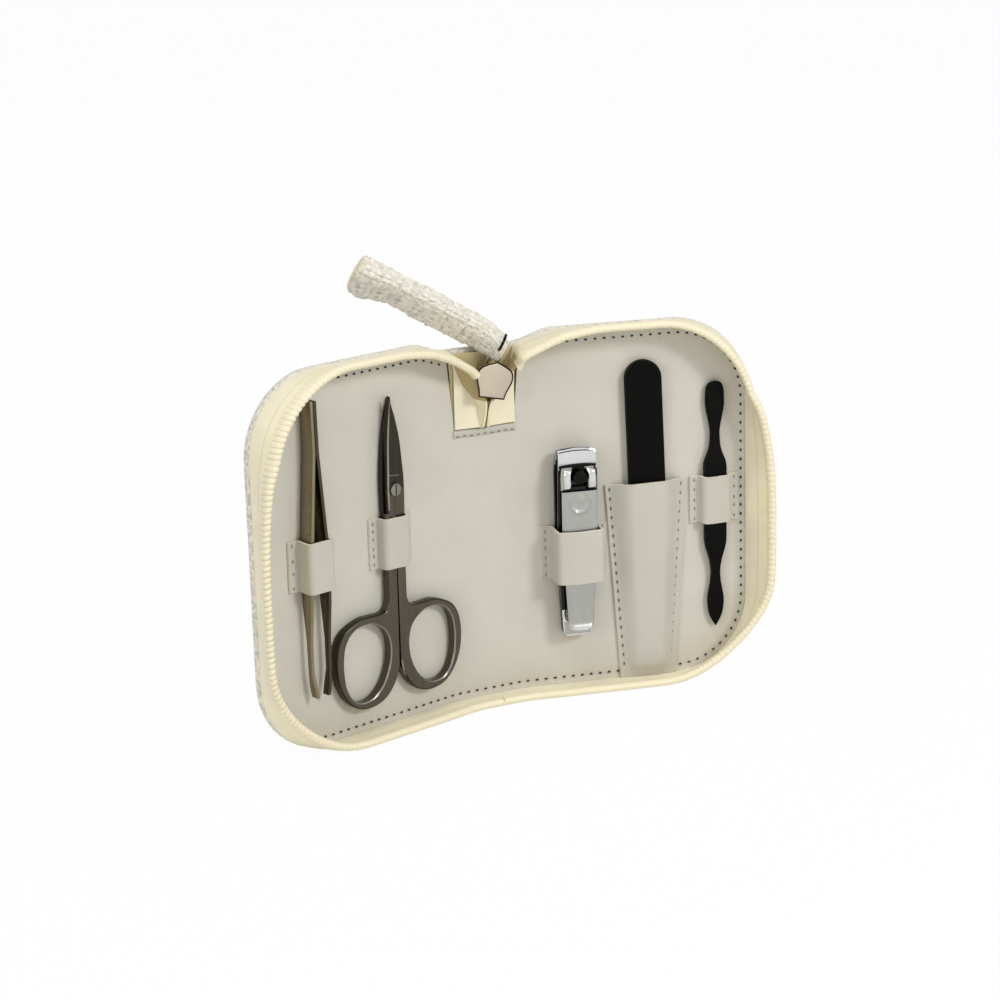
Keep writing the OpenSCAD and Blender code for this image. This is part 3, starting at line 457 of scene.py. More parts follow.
def tape_stations(side, steps):
    """Stations of one half's zip tape, each a row from the sewn edge to the free edge, on its outer face.
    They run from the middle of the bottom round the wall to the tape's end in the window."""
    s = SIDES[side]
    rows = []
    rim = [(-SPINE_W / 2 + 0.02, TAPE_H - 0.8), (-6, TAPE_H - 0.66), (0, TAPE_H - 0.3), (WALL_START, TAPE_H)]
    for i in range(24):
        q = mix(-SPINE_W / 2 + 0.02, WALL_START - 0.6, i / 23)
        depth = np.interp(q, [p[0] for p in rim], [p[1] for p in rim])
        rows.append([on_layers(side, q, depth * k / steps, 0.0) for k in range(steps + 1)])
    columns = [wall_row(side, k / steps) for k in range(steps + 1)]
    for i in range(len(columns[0])):
        rows.append([at_half(side, *columns[k][i]) for k in range(steps + 1)])
    top = CASE_H
    x0, w0 = s * SLIDER_X, s * WINDOW_X
    x1 = x0 + s * 4 * math.sin(math.radians(SLIDER_TILT))
    ends = [
        [at_half(side, 6, 0.15, top - 0.52 * SPINE_DROP), at_half(side, 6, 0.45 * TAPE_H, top - 2),
         at_half(side, 6, 0.97 * TAPE_H, top - 2.6)],
        [at_half(side, 0.2, 0.3, top - SPINE_DROP), at_half(side, 0.2, 0.4 * TAPE_H, top - 4.2),
         at_half(side, 0.2, 0.9 * TAPE_H, top - 5.6)],
        [at_spine(9.8 + w0, 0.1, SLIDER_Z + 6), at_spine(9.5 + 0.5 * x0, 1.1, SLIDER_Z + 5),
         at_spine(6.7 + x1, 5.9, SLIDER_Z + 3.6)],
        [at_spine(9.9 + w0, 0.05, SLIDER_Z), at_spine(7.4 + 0.5 * x0, 0.6, SLIDER_Z - 0.6),
         at_spine(3.6 + x0, 4.6, SLIDER_Z - 1)],
        [at_spine(10 + w0, 0.05, SLIDER_Z - 6.4), at_spine(2.6, 0.8, SLIDER_Z - 6.9),
         at_spine(0.5, 4.9, SLIDER_Z - 7.4)],
        [at_spine(10 + w0, 0.05, WINDOW_Z + 0.6), at_spine(0.8, 0.9, WINDOW_Z + 0.6),
         at_spine(0.4, 2.3, WINDOW_Z + 0.6)],
    ]
    last = rows[-3:]
    tail = catmull(last + [three_to_many(e, steps) for e in ends], 6)
    return rows[:-3] + [[tuple(p) for p in row] for row in tail], len(rows)


# ---------------------------------------------------------------- materials


def add(tree, kind, settings=None, **links):
    """Adds a node, sets its settings, and links or sets its inputs; in_0 stands for input number 0."""
    node = tree.nodes.new(kind)
    for key, value in (settings or {}).items():
        setattr(node, key, value)
    for key, value in links.items():
        socket = node.inputs[int(key[3:]) if key.startswith("in_") else key.replace("_", " ")]
        if isinstance(value, bpy.types.NodeSocket):
            tree.links.new(value, socket)
        else:
            socket.default_value = value
    return node


def start_material(name, colour, roughness, **shader):
    """Material with a Principled shader; returns the material, its tree and the shader."""
    m = bpy.data.materials.new(name)
    m.use_nodes = True
    tree = m.node_tree
    bsdf = tree.nodes["Principled BSDF"]
    bsdf.inputs["Base Color"].default_value = (*colour, 1)
    bsdf.inputs["Roughness"].default_value = roughness
    for key, value in shader.items():
        bsdf.inputs[key.replace("_", " ")].default_value = value
    m.diffuse_color = (*colour, 1)
    return m, tree, bsdf


def ramp(tree, fac, stops):
    """Colour ramp through (place, linear colour) stops."""
    node = add(tree, "ShaderNodeValToRGB", in_0=fac)
    marks = node.color_ramp.elements
    while len(marks) < len(stops):
        marks.new(0.5)
    for mark, (place, colour) in zip(marks, stops):
        mark.position = place
        mark.color = (*colour, 1)
    return node.outputs["Color"]


def shaded(colour, k):
    """The colour k times as bright."""
    return [min(1.0, c * k) for c in colour]


def colour_by(tree, bsdf, fac, colour, stops):
    """Base colour from shades of one colour, as (place, brightness) stops."""
    tone = ramp(tree, fac, [(at, shaded(colour, k)) for at, k in stops])
    tree.links.new(tone, bsdf.inputs["Base Color"])
    return tone


def bump_by(tree, bsdf, height, strength, depth):
    """Bump of that depth in millimetres."""
    bump = add(tree, "ShaderNodeBump", Height=height, Strength=strength, Distance=depth * MM)
    tree.links.new(bump.outputs[0], bsdf.inputs["Normal"])


def rough_by(tree, bsdf, value, low, high):
    """Roughness that varies from low to high with value."""
    rough = add(tree, "ShaderNodeMapRange", Value=value, To_Min=low, To_Max=high)
    tree.links.new(rough.outputs[0], bsdf.inputs["Roughness"])


def calc(tree, operation, *values):
    """Result of a math node."""
    inputs = {"in_%d" % i: v for i, v in enumerate(values)}
    return add(tree, "ShaderNodeMath", {"operation": operation}, **inputs).outputs[0]


def noise(tree, where, scale, detail):
    return add(tree, "ShaderNodeTexNoise", Vector=where, Scale=scale, Detail=detail).outputs["Fac"]


def coordinates(tree, kind="UV"):
    return add(tree, "ShaderNodeTexCoord").outputs[kind]


def woven_cotton(name, colour, pitch, deep):
    """Cotton and viscose strands, plain woven: soft sheen, painted shade between the strands, paler threads on them."""
    m, tree, bsdf = start_material(name, colour, 0.62, Sheen_Weight=0.25, Sheen_Roughness=0.4)
    uv = coordinates(tree)
    cell = add(tree, "ShaderNodeVectorMath", {"operation": "SCALE"}, Vector=uv, Scale=1 / (pitch * MM)).outputs[0]
    parity = add(tree, "ShaderNodeTexChecker", Vector=cell, Color1=(1, 1, 1, 1), Color2=(0, 0, 0, 1), Scale=1.0)
    split = add(tree, "ShaderNodeSeparateXYZ", Vector=cell)
    # threads along each strand: real ones are 0.25 mm apart, drawn 0.55 mm so that they show
    along, across = (
        calc(tree, "SINE", calc(tree, "MULTIPLY", split.outputs[axis], 2 * math.pi * pitch / 0.55)) for axis in (0, 1)
    )
    thread = add(tree, "ShaderNodeMix", {"data_type": "FLOAT"}, in_0=parity.outputs["Fac"], in_2=along, in_3=across)
    tone = calc(tree, "MULTIPLY_ADD", thread.outputs[0], 0.12, noise(tree, uv, 700.0, 3.0))
    # the ramp's dark end is painted shade in the gaps between the threads
    colour_by(tree, bsdf, tone, colour, ((0.32, deep), (0.5, 1), (0.72, 1.12)))
    bump_by(tree, bsdf, tone, 0.5, 0.15)
    return m


def leatherette(name, colour, roughness=0.58):
    """PU leatherette, embossed with a fine pebble grain: matt, faintly mottled, soft highlights."""
    m, tree, bsdf = start_material(name, colour, roughness)
    uv = coordinates(tree)
    # pebbles are 0.4 mm across, drawn 0.7 mm so that they show
    grain = add(tree, "ShaderNodeTexVoronoi", {"feature": "SMOOTH_F1"}, Vector=uv, Scale=1400.0).outputs["Distance"]
    colour_by(tree, bsdf, noise(tree, uv, 60.0, 4.0), colour, ((0.3, 0.955), (0.7, 1.03)))
    rough_by(tree, bsdf, grain, roughness - 0.08, roughness + 0.1)
    bump_by(tree, bsdf, grain, 0.18, 0.08)
    return m


def zip_tape(name, colour):
    """Polyester zip tape, woven in a fine herringbone: smooth and matt, with a faint rib across it."""
    m, tree, bsdf = start_material(name, colour, 0.7, Sheen_Weight=0.15)
    uv = coordinates(tree)
    # the rib is 0.3 mm, drawn 0.7 mm
    wave = add(tree, "ShaderNodeTexWave", {"bands_direction": "X"}, Vector=uv, Scale=450.0, Distortion=0.6,
               Detail=1.0).outputs["Fac"]
    tone = calc(tree, "MULTIPLY_ADD", wave, 0.18, noise(tree, uv, 90.0, 3.0))
    weave = colour_by(tree, bsdf, tone, colour, ((0.35, 0.93), (0.8, 1.04)))
    # painted shade: a darker line along the tape's crease, and the strip past it painted yellower
    v = calc(tree, "MULTIPLY", add(tree, "ShaderNodeSeparateXYZ", Vector=uv).outputs[1], 0.1 / MM)
    band = ramp(tree, v, [(0.46, (1, 0.985, 0.96)), (0.49, (0.86, 0.83, 0.76)), (0.53, (1, 0.99, 0.9))])
    both = add(tree, "ShaderNodeMix", {"data_type": "RGBA", "blend_type": "MULTIPLY"}, in_0=1.0, in_6=weave, in_7=band)
    tree.links.new(both.outputs[2], bsdf.inputs["Base Color"])
    bump_by(tree, bsdf, wave, 0.25, 0.06)
    return m


def coiled_nylon(name, colour, pitch):
    """Nylon monofilament, coiled into teeth: a little gloss, and painted shade in the gaps."""
    m, tree, bsdf = start_material(name, colour, 0.45, Subsurface_Weight=0.1, Subsurface_Scale=0.0008)
    uv = coordinates(tree)
    run = add(tree, "ShaderNodeSeparateXYZ", Vector=uv)
    rib = calc(tree, "ABSOLUTE", calc(tree, "SINE", calc(tree, "MULTIPLY", run.outputs[0], math.pi / (pitch * MM))))
    tone = calc(tree, "MULTIPLY_ADD", noise(tree, uv, 350.0, 2.0), 0.5, rib)
    # V holds how flat the coil lies there, and a flat coil has no gaps, so it gets no painted shade
    tone = calc(tree, "MULTIPLY_ADD", run.outputs[1], 0.9 / MM, tone)
    colour_by(tree, bsdf, tone, colour, ((0.25, 0.7), (0.6, 0.92), (0.95, 1)))
    return m


def metal(name, colour, roughness, grain=(1, 1, 40), spread=0.12, tint=0.12, bump=0.02):
    """Metal polished or brushed: the grain's scale per axis gives the direction of its scratches."""
    m, tree, bsdf = start_material(name, colour, roughness, Metallic=1.0)
    turned = add(tree, "ShaderNodeMapping", Vector=coordinates(tree, "Object"), Scale=grain).outputs[0]
    scratch = add(tree, "ShaderNodeTexNoise", Vector=turned, Scale=90.0, Detail=5.0, Roughness=0.6).outputs["Fac"]
    rough_by(tree, bsdf, scratch, max(0.03, roughness - spread), roughness + spread)
    colour_by(tree, bsdf, scratch, colour, ((0.3, 1 - tint), (0.7, 1 + tint)))
    bump_by(tree, bsdf, scratch, 0.3, bump)
    return m


def matt_plastic(name, colour, roughness, gloss):
    """ABS moulded with a fine spark texture, or steel with a matt coat: dark, soft broad highlights."""
    m, tree, bsdf = start_material(name, colour, roughness, Specular_IOR_Level=gloss)
    where = coordinates(tree, "Object")
    fine = noise(tree, where, 2200.0, 2.0)
    rough_by(tree, bsdf, noise(tree, where, 160.0, 3.0), roughness - 0.08, roughness + 0.1)
    colour_by(tree, bsdf, fine, colour, ((0.3, 0.8), (0.7, 1.35)))
    bump_by(tree, bsdf, fine, 0.2, 0.05)
    return m


def spun_thread(name, colour):
    """Polyester sewing thread, twisted: matt with a short twist pattern."""
    m, tree, bsdf = start_material(name, colour, 0.6)
    twist = add(tree, "ShaderNodeTexWave", {"bands_direction": "DIAGONAL"}, Vector=coordinates(tree), Scale=1200.0)
    colour_by(tree, bsdf, twist.outputs["Fac"], colour, ((0.2, 0.7), (0.8, 1.2)))
    return m


FINISHES = {}


def finish(name):
    """The case's material of that name, made once."""
    if name in FINISHES:
        return FINISHES[name]
    sizes, colours = bpy.context.scene.case_sizes, bpy.context.scene.case_colours
    weave, lining, tape, steel = (list(c) for c in (colours.weave, colours.lining, colours.tape, colours.steel))
    makers = {
        "woven_cover": (woven_cotton, "woven_cover", shaded(weave, 0.9), sizes.weave_pitch, 0.55),
        "woven_pull": (woven_cotton, "woven_pull", shaded(weave, 0.92), 1.3 * sizes.weave_pitch, 0.62),
        # the pull's far end in a darker, yellower weave: painted shade
        "woven_end": (woven_cotton, "woven_pull_folded_end", linear("#D9D0B2"), 1.3 * sizes.weave_pitch, 0.7),
        "lining": (leatherette, "lining_leatherette", lining),
        "strap": (leatherette, "strap_leatherette", shaded(lining, 0.88)),
        "cut_edge": (leatherette, "leatherette_cut_edge", linear("#DDD6C4"), 0.75),
        "tape": (zip_tape, "polyester_zip_tape", tape),
        # a darker tape for the end behind the slider: painted shade
        "tape_inside": (zip_tape, "zip_tape_turned_in", linear("#B3A273")),
        "garage": (zip_tape, "garage_tape", linear("#CDC09A")),
        "teeth": (coiled_nylon, "nylon_coil_teeth", linear("#E8DFC0"), sizes.tooth_pitch),
        "dark_thread": (spun_thread, "dark_thread", linear("#15110C")),
        "pale_thread": (spun_thread, "pale_thread", linear("#8A8069")),
        "grey_thread": (spun_thread, "grey_thread", linear("#6A6152")),
        "slider": (metal, "die_cast_zinc", linear("#C2B7A5"), 0.4, (1, 1, 1), 0.08, 0.04),
        # a dark colour for the slider's rounded edges and the line round its shield
        "slider_edge": (metal, "zinc_worn_edge", linear("#2F2A22"), 0.3, (1, 1, 1), 0.08, 0.15),
        "tweezers": (metal, "tweezer_steel", linear("#8A8068"), 0.36, (30, 30, 1)),
        # the tweezers' right arm in darker steel: painted shade
        "tweezers_shade": (metal, "tweezer_inner_arm", linear("#4E4739"), 0.34, (30, 30, 1)),
        # a lighter steel on the tweezers' rounded edges and ridges: a painted highlight
        "tweezers_edge": (metal, "tweezer_ground_edge", linear("#A39B88"), 0.25, (30, 30, 1)),
        "gunmetal": (metal, "gunmetal_steel", shaded(steel, 0.9), 0.18, (30, 30, 1)),
        # darker steel on the scissors' blades and ring outsides: a painted dark reflection
        "gunmetal_dark": (metal, "gunmetal_blade", shaded(steel, 0.42), 0.3, (30, 30, 1)),
        # lighter steel for the scissors' ground edge, and a painted highlight inside the rings
        "gunmetal_edge": (metal, "gunmetal_ground_edge", linear("#8F8A80"), 0.22, (30, 30, 1)),
        "chrome": (metal, "chrome_plate", linear("#D4D5D6"), 0.09, (1, 1, 1), 0.04, 0.03, 0.01),
        # a dark copy of the chrome: painted shade on the clipper
        "chrome_side": (metal, "chrome_in_shade", linear("#2C2C2E"), 0.14, (1, 1, 1), 0.05, 0.2, 0.01),
        "lever": (metal, "satin_nickel", linear("#ADAEAA"), 0.3, (30, 30, 1), 0.06, 0.05),
        # the pin's dark steel, also used as painted shade across the clipper's head
        "pin": (metal, "dark_pin_steel", linear("#1E1D1B"), 0.2, (1, 1, 1)),
        "screw": (metal, "polished_screw", linear("#858179"), 0.2, (1, 1, 1)),
        "black_plastic": (matt_plastic, "moulded_black_abs", linear("#060505"), 0.5, 0.07),
        # a lighter, glossier black on the file handle's rounded rim: a painted highlight
        "black_rim": (matt_plastic, "abs_rim_rubbed_bright", linear("#0C0B0A"), 0.3, 0.6),
        "black_steel": (matt_plastic, "black_coated_steel", linear("#060505"), 0.45, 0.08),
        "file_steel": (metal, "etched_file_steel", linear("#8A8A88"), 0.5, (1, 1, 1), 0.1, 0.2, 0.05),
    }
    maker, *given = makers[name]
    FINISHES[name] = maker(*given)
    return FINISHES[name]


def attach(obj, body, nodes=()):
    """Rides on a body and stands for its nodes."""
    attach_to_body(obj, body)
    if nodes:
        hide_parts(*nodes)


def bend_at_fold(obj, side, nodes=(), slack=0.0):
    """Bakes the piece's transform into its mesh and stands for its nodes; it does not bend the piece. slack, meant as
    the share by which each millimetre of a standing piece's height holds back with the spine, as soft tape does beside
    the slider, is not used."""
    along, up = -1 / (2 * BEND), slack
    scale = along * along + up * up
    start, end = (tuple(MM * v for v in place(side, BEND + u, n, 0.0))
                  for u, n in ((0, 0), (along / scale, up / scale)))
    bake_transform(obj)
    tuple(start)
    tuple(end)
    if nodes:
        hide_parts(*nodes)


# ---------------------------------------------------------------- case shell


class CASE_OT_covers(bpy.types.Operator):
    """Makes the woven outer cover of both halves, each with its share of the spine"""

    bl_idname = "manicure_case.covers"
    bl_label = "Woven covers"

    INSET, COLUMNS = 0.9, 160

    # section of the rolled rim: in from the outline, and up from the back
    RIM = ((1.6, 0.35), (0.9, 0.12), (0.35, 0.3), (0.05, 0.8), (-0.05, 1.5), (-0.05, 2.2), (0.0, 2.8), (0.35, 3.15),
           (1.2, 3.15))

    def execute(self, context):
        sizes = context.scene.case_sizes
        heights = corner_rows(0.0, CASE_H, CORNER_R, 124, 44)
        for side, s in SIDES.items():

            def at(z, c):
                far = outline_u(z, self.INSET)
                q = mix(-SPINE_W / 2, far, c / self.COLUMNS)
                h = float(weave_height(q + WEAVE_PHASE, z + WEAVE_PHASE, sizes.weave_pitch))
                # the relief fades at the edge line, where the wrapped rim takes over
                edge = min(far - q, z + 0.01, CASE_H - z + 0.01) / WEAVE_FADE
                n = 0.1 - LAYERS_T - sizes.weave_relief * (h - 0.25) * min(1.0, max(0.15, edge))
                up = min(max(z, 0.5), CASE_H - 0.5) - drop_at(q, z)
                return on_layers(side, q, n, up), (s * (q + SPINE_W / 2), z)

            back = grid(*lattice(heights, range(self.COLUMNS, -1, -1), at))
            piece = new_piece("woven_cover_" + side, [back, self.rim(side, sizes)], ["woven_cover"], side=s)
            nodes = ["cover_" + side, "board_" + side, "spine_cover", "spine_padding"]
            bend_at_fold(piece, side, nodes)
        return {"FINISHED"}

    def rim(self, side, sizes):
        """The cover's edge, rolled from the back round to the zip tape."""
        profile = [(inset, rise - LAYERS_T) for inset, rise in self.RIM]
        mid = HALF_W - CORNER_R
        path = [(mix(-SPINE_W / 2, mid, i / 110), 0.0, -90.0) for i in range(110)]
        path += corner(mid, CORNER_R, CORNER_R, -90, 70)
        path += [(HALF_W, mix(CORNER_R, CASE_H - CORNER_R, i / 120), 0.0) for i in range(1, 120)]
        path += corner(mid, CASE_H - CORNER_R, CORNER_R, 0, 70)
        path += [(mix(mid, -SPINE_W / 2, i / 110), CASE_H, 90.0) for i in range(1, 111)]
        rows, uvs, run = [], [], 0.0
        for i, (u, z, a) in enumerate(path):
            if i:
                run += math.dist(path[i][:2], path[i - 1][:2])
            ca, sa = math.cos(math.radians(a)), math.sin(math.radians(a))
            row, uv, across = [], [], 0.0
            for k, (inset, n) in enumerate(profile):
                if k:
                    across += math.dist(profile[k], profile[k - 1])
                keep = inset
                if a > -90 and 0 < k < 7:
                    h = float(weave_height(run, across * 1.2 + WEAVE_PHASE, sizes.weave_pitch * 0.85))
                    keep -= (0.5 * h - 0.15) * sizes.weave_relief
                uu, zz = u - keep * ca, z - keep * sa
                row.append(on_layers(side, uu, n, max(0.0, zz) - (drop_at(uu) if a == 90.0 else 0.0)))
                uv.append((SIDES[side] * run, across))
            rows.append(row)
            uvs.append(uv)
        return grid(rows, uvs)


class CASE_OT_linings(bpy.types.Operator):
    """Makes the leatherette lining of both halves, with the window in the spine"""

    bl_idname = "manicure_case.linings"
    bl_label = "Linings"

    INSET, COLUMNS = 0.85, 60

    def execute(self, context):
        heights = corner_rows(self.INSET, CASE_H - self.INSET, CORNER_R - self.INSET, 34, 16)
        low = [h for h in heights if h < WINDOW_Z - 0.5] + [WINDOW_Z]
        high = [WINDOW_Z] + [h for h in heights if h > WINDOW_Z + 0.5]
        for side, s in SIDES.items():
            window = WINDOW_W / 2 + s * WINDOW_X

            def under(z, c, near=-SPINE_W / 2):
                far = outline_u(z, self.INSET)
                q = mix(near, far, c / self.COLUMNS)
                return on_layers(side, q, self.height(q, z, far), z - drop_at(q, z)), (s * (q + SPINE_W / 2), z)

            def beside(z, c):
                return under(z, c, -SPINE_W / 2 + (window + 2.6 * (z - WINDOW_Z) / (CASE_H - WINDOW_Z)))

            parts = [thick_sheet(*lattice(zs, range(self.COLUMNS + 1), at), -0.6, 0, 1)
                     for zs, at in ((low, under), (high, beside))]
            piece = new_piece("lining_" + side, parts, ["lining", "cut_edge"], 50, s)
            bend_at_fold(piece, side, ["lining_" + side, "spine_lining"])
        return {"FINISHED"}

    def height(self, q, z, far):
        """Lining's small rise and fall: drawn down along the edge seam, soft in between."""
        edge = min(far - q, z, CASE_H - z)
        seam = -0.22 * math.exp(-(((edge - 2.6) / 1.1) ** 2))
        return seam + 0.06 * math.sin(q * 0.11 + 1.0) * math.sin(z * 0.09)


def stitch(at, along, out, length, radius, mat=2, dimple=False):
    """One thread stitch as a part in that material, and where asked the dimple that it lies in, in material 1."""
    at, along, out = (np.array(v, dtype=float) for v in (at, along, out))
    along /= np.linalg.norm(along)
    out /= np.linalg.norm(out)
    ends = [(-0.5, 0.0, 0.35), (-0.36, 0.3, 0.85), (0.0, 0.5, 1.0), (0.36, 0.3, 0.85), (0.5, 0.0, 0.35)]
    path = [at + along * length * a + out * radius * (b + 0.15) for a, b, _ in ends]
    points, faces, uvs, mats = tube(path, [radius * r for _, _, r in ends], 6, up=out)
    parts = [(points, faces, uvs, [mat] * len(mats))]
    if dimple:
        side = np.cross(along, out)
        rows, uvs = [], []
        for r, h in ((1.0, 0.05), (0.72, 0.09), (0.45, -0.12)):
            ring = [at + out * h + (along * math.cos(a) * length * 0.78 + side * math.sin(a) * length * 0.62) * r
                    for a in (2 * math.pi * k / 10 for k in range(10))]
            rows.append([tuple(p) for p in ring])
            uvs.append([(p[0] + p[1], p[2]) for p in ring])
        parts.append(grid(rows, uvs, 1, wrap=True))
    return joined(parts)


class CASE_OT_stitches(bpy.types.Operator):
    """Makes the dark stitches round the lining's edge"""

    bl_idname = "manicure_case.stitches"
    bl_label = "Edge stitches"

    def execute(self, context):
        pitch = context.scene.case_sizes.stitch_pitch
        for side, s in SIDES.items():
            points = self.path(3.0, {"left": 3.2, "right": 2.2}[side], 4.3)
            run = lengths(points)
            parts = []
            for k in range(int(run[-1] / pitch)):
                d = (k + 0.5) * pitch
                (q, z), (q2, z2) = ([np.interp(e, run, [p[i] for p in points]) for i in (0, 1)] for e in (d, d + 0.4))
                a = np.array(on_layers(side, q, -0.1, z - drop_at(q, z)))
                b = np.array(on_layers(side, q2, -0.1, z2 - drop_at(q2, z2)))
                out = np.array(on_layers(side, q, 1.0, z - drop_at(q, z))) - a
                parts.append(stitch(a, b - a, out, 0.85, 0.32, 0, dimple=True))
            piece = new_piece("edge_stitches_" + side, parts, ["dark_thread", "lining"], side=s)
            bend_at_fold(piece, side)
        return {"FINISHED"}

    def path(self, low, side, high):
        """Line of the stitches, at these distances from the bottom, the outer side and the top."""
        r = CORNER_R - 3.0
        mid, top = HALF_W - side - r, CASE_H - high
        out = [(-SPINE_W / 2, low), (mid, low)]
        out += [(u, z) for u, z, _ in corner(mid, low + r, r, -90, 20)]
        out += [(u, z) for u, z, _ in corner(mid, top - r, r, 0, 20)]
        return out + [(0.5, top)]


class CASE_OT_zip_tapes(bpy.types.Operator):
    """Makes the zip tape of both halves, from the middle of the bottom to its end in the window"""

    bl_idname = "manicure_case.zip_tapes"
    bl_label = "Zip tapes"

    def execute(self, context):
        steps = context.scene.case_sizes.tape_steps
        for side, s in SIDES.items():
            rows, start = tape_stations(side, steps)
            middle = lengths([row[steps // 2] for row in rows])
            uvs = [[(middle[i], TAPE_H * k / steps) for k in range(steps + 1)] for i in range(len(rows))]
            points, faces, uvs, mats = thick_sheet(rows, uvs, TAPE_T)
            # past its crease the tape's end turns in behind the slider, and there it is painted darker: painted shade
            for f in range(len(mats)):
                row, col = divmod(min(faces[f]) % (len(rows) * (steps + 1)), steps + 1)
                if start + 24 <= row < start + 38 and col >= steps // 2:
                    mats[f] = 1
            piece = new_piece("zip_tape_" + side, [(points, faces, uvs, mats)], ["tape", "tape_inside"], 28, s)
            nodes = [n + "_" + side for n in ("zip_tape", "gusset_top", "gusset_bottom", "zip_tail")]
            bend_at_fold(piece, side, nodes, SLACK)
        return {"FINISHED"}


class CASE_OT_zip_teeth(bpy.types.Operator):
    """Makes the coil of teeth along each tape's free edge, up to the slider"""

    bl_idname = "manicure_case.zip_teeth"
    bl_label = "Zip teeth"

    # section of the coil: in from the tape's outer face, up from its edge, and how deep the gaps cut there
    SECTION = (
        (-0.02, -2.7, 0.0), (-0.14, -1.9, 0.1), (-0.2, -0.9, 0.16), (-0.18, 0.2, 0.2), (0.08, 0.95, 0.26),
        (0.55, 1.42, 0.34), (1.15, 1.6, 0.42), (1.75, 1.45, 0.46), (2.2, 0.95, 0.46), (2.4, 0.2, 0.4),
        (2.3, -0.6, 0.3), (1.9, -1.25, 0.22), (1.3, -1.6, 0.12), (0.85, -1.7, 0.0), (0.4, -2.2, 0.0),
    )
    CENTRE = (1.1, -0.5)
    PER_TOOTH = 8

    def execute(self, context):
        sizes = context.scene.case_sizes
        pitch = sizes.tooth_pitch
        for side, s in SIDES.items():
            rows, _ = tape_stations(side, sizes.tape_steps)
            a = np.array(rows, dtype=float)
            inward, edge, below = normals(rows)[:, -1], a[:, -1], a[:, -2]
            run = lengths(edge)
            enter = next(i for i in range(len(edge) - 1, 0, -1) if edge[i][2] > SLIDER_Z + 2.2 or i < 40)
            count = int(run[enter] / pitch) * self.PER_TOOTH
            centre = np.array(self.CENTRE)
            out, uvs = [], []
            for k in range(count + 1):
                d = k * pitch / self.PER_TOOTH
                p, q, n, b = (np.array([np.interp(d + e, run, v[:, i]) for i in range(3)])
                              for v, e in ((edge, 0), (edge, 0.3), (inward, 0), (below, 0)))
                along = unit(q - p)
                rise = unit((p - b) - along * ((p - b) @ along))
                n = unit(n - along * (n @ along) - rise * (n @ rise))
                gap = 1 - abs(math.sin(math.pi * k / self.PER_TOOTH)) ** 0.8
                # the coil fades into smooth tape near the slider and along the spine's bottom; pulled round the
                # top and bottom it lies flatter than on the upright walls
                keep = smooth((run[enter] - d) / 14) * smooth((d - 4) / 14)
                keep *= mix(0.4 if p[2] > 60 else 0.12, {"left": 1.0, "right": 0.55}[side], abs(along[2]) ** 0.9)
                row = []
                for i, r, cut in self.SECTION:
                    w = np.array([i, r]) - centre
                    w = centre + w * 0.96 * (1 - 0.8 * cut * gap * keep / max(0.6, np.linalg.norm(w)))
                    row.append(tuple(p + n * w[0] + rise * w[1] + along * 0.22 * (w[0] - centre[0])))
                out.append(row)
                uvs.append([(d, 1 - keep) for _ in self.SECTION])
            points, faces, uvs, mats = grid(out, uvs, wrap=True)
            c = len(self.SECTION)
            faces += [tuple(reversed(range(c))), tuple(range(count * c, (count + 1) * c))]
            piece = new_piece("zip_teeth_" + side, [(points, faces, uvs, mats + [0, 0])], ["teeth"], side=s)
            bend_at_fold(piece, side, ["zip_teeth_" + side], SLACK)
        return {"FINISHED"}


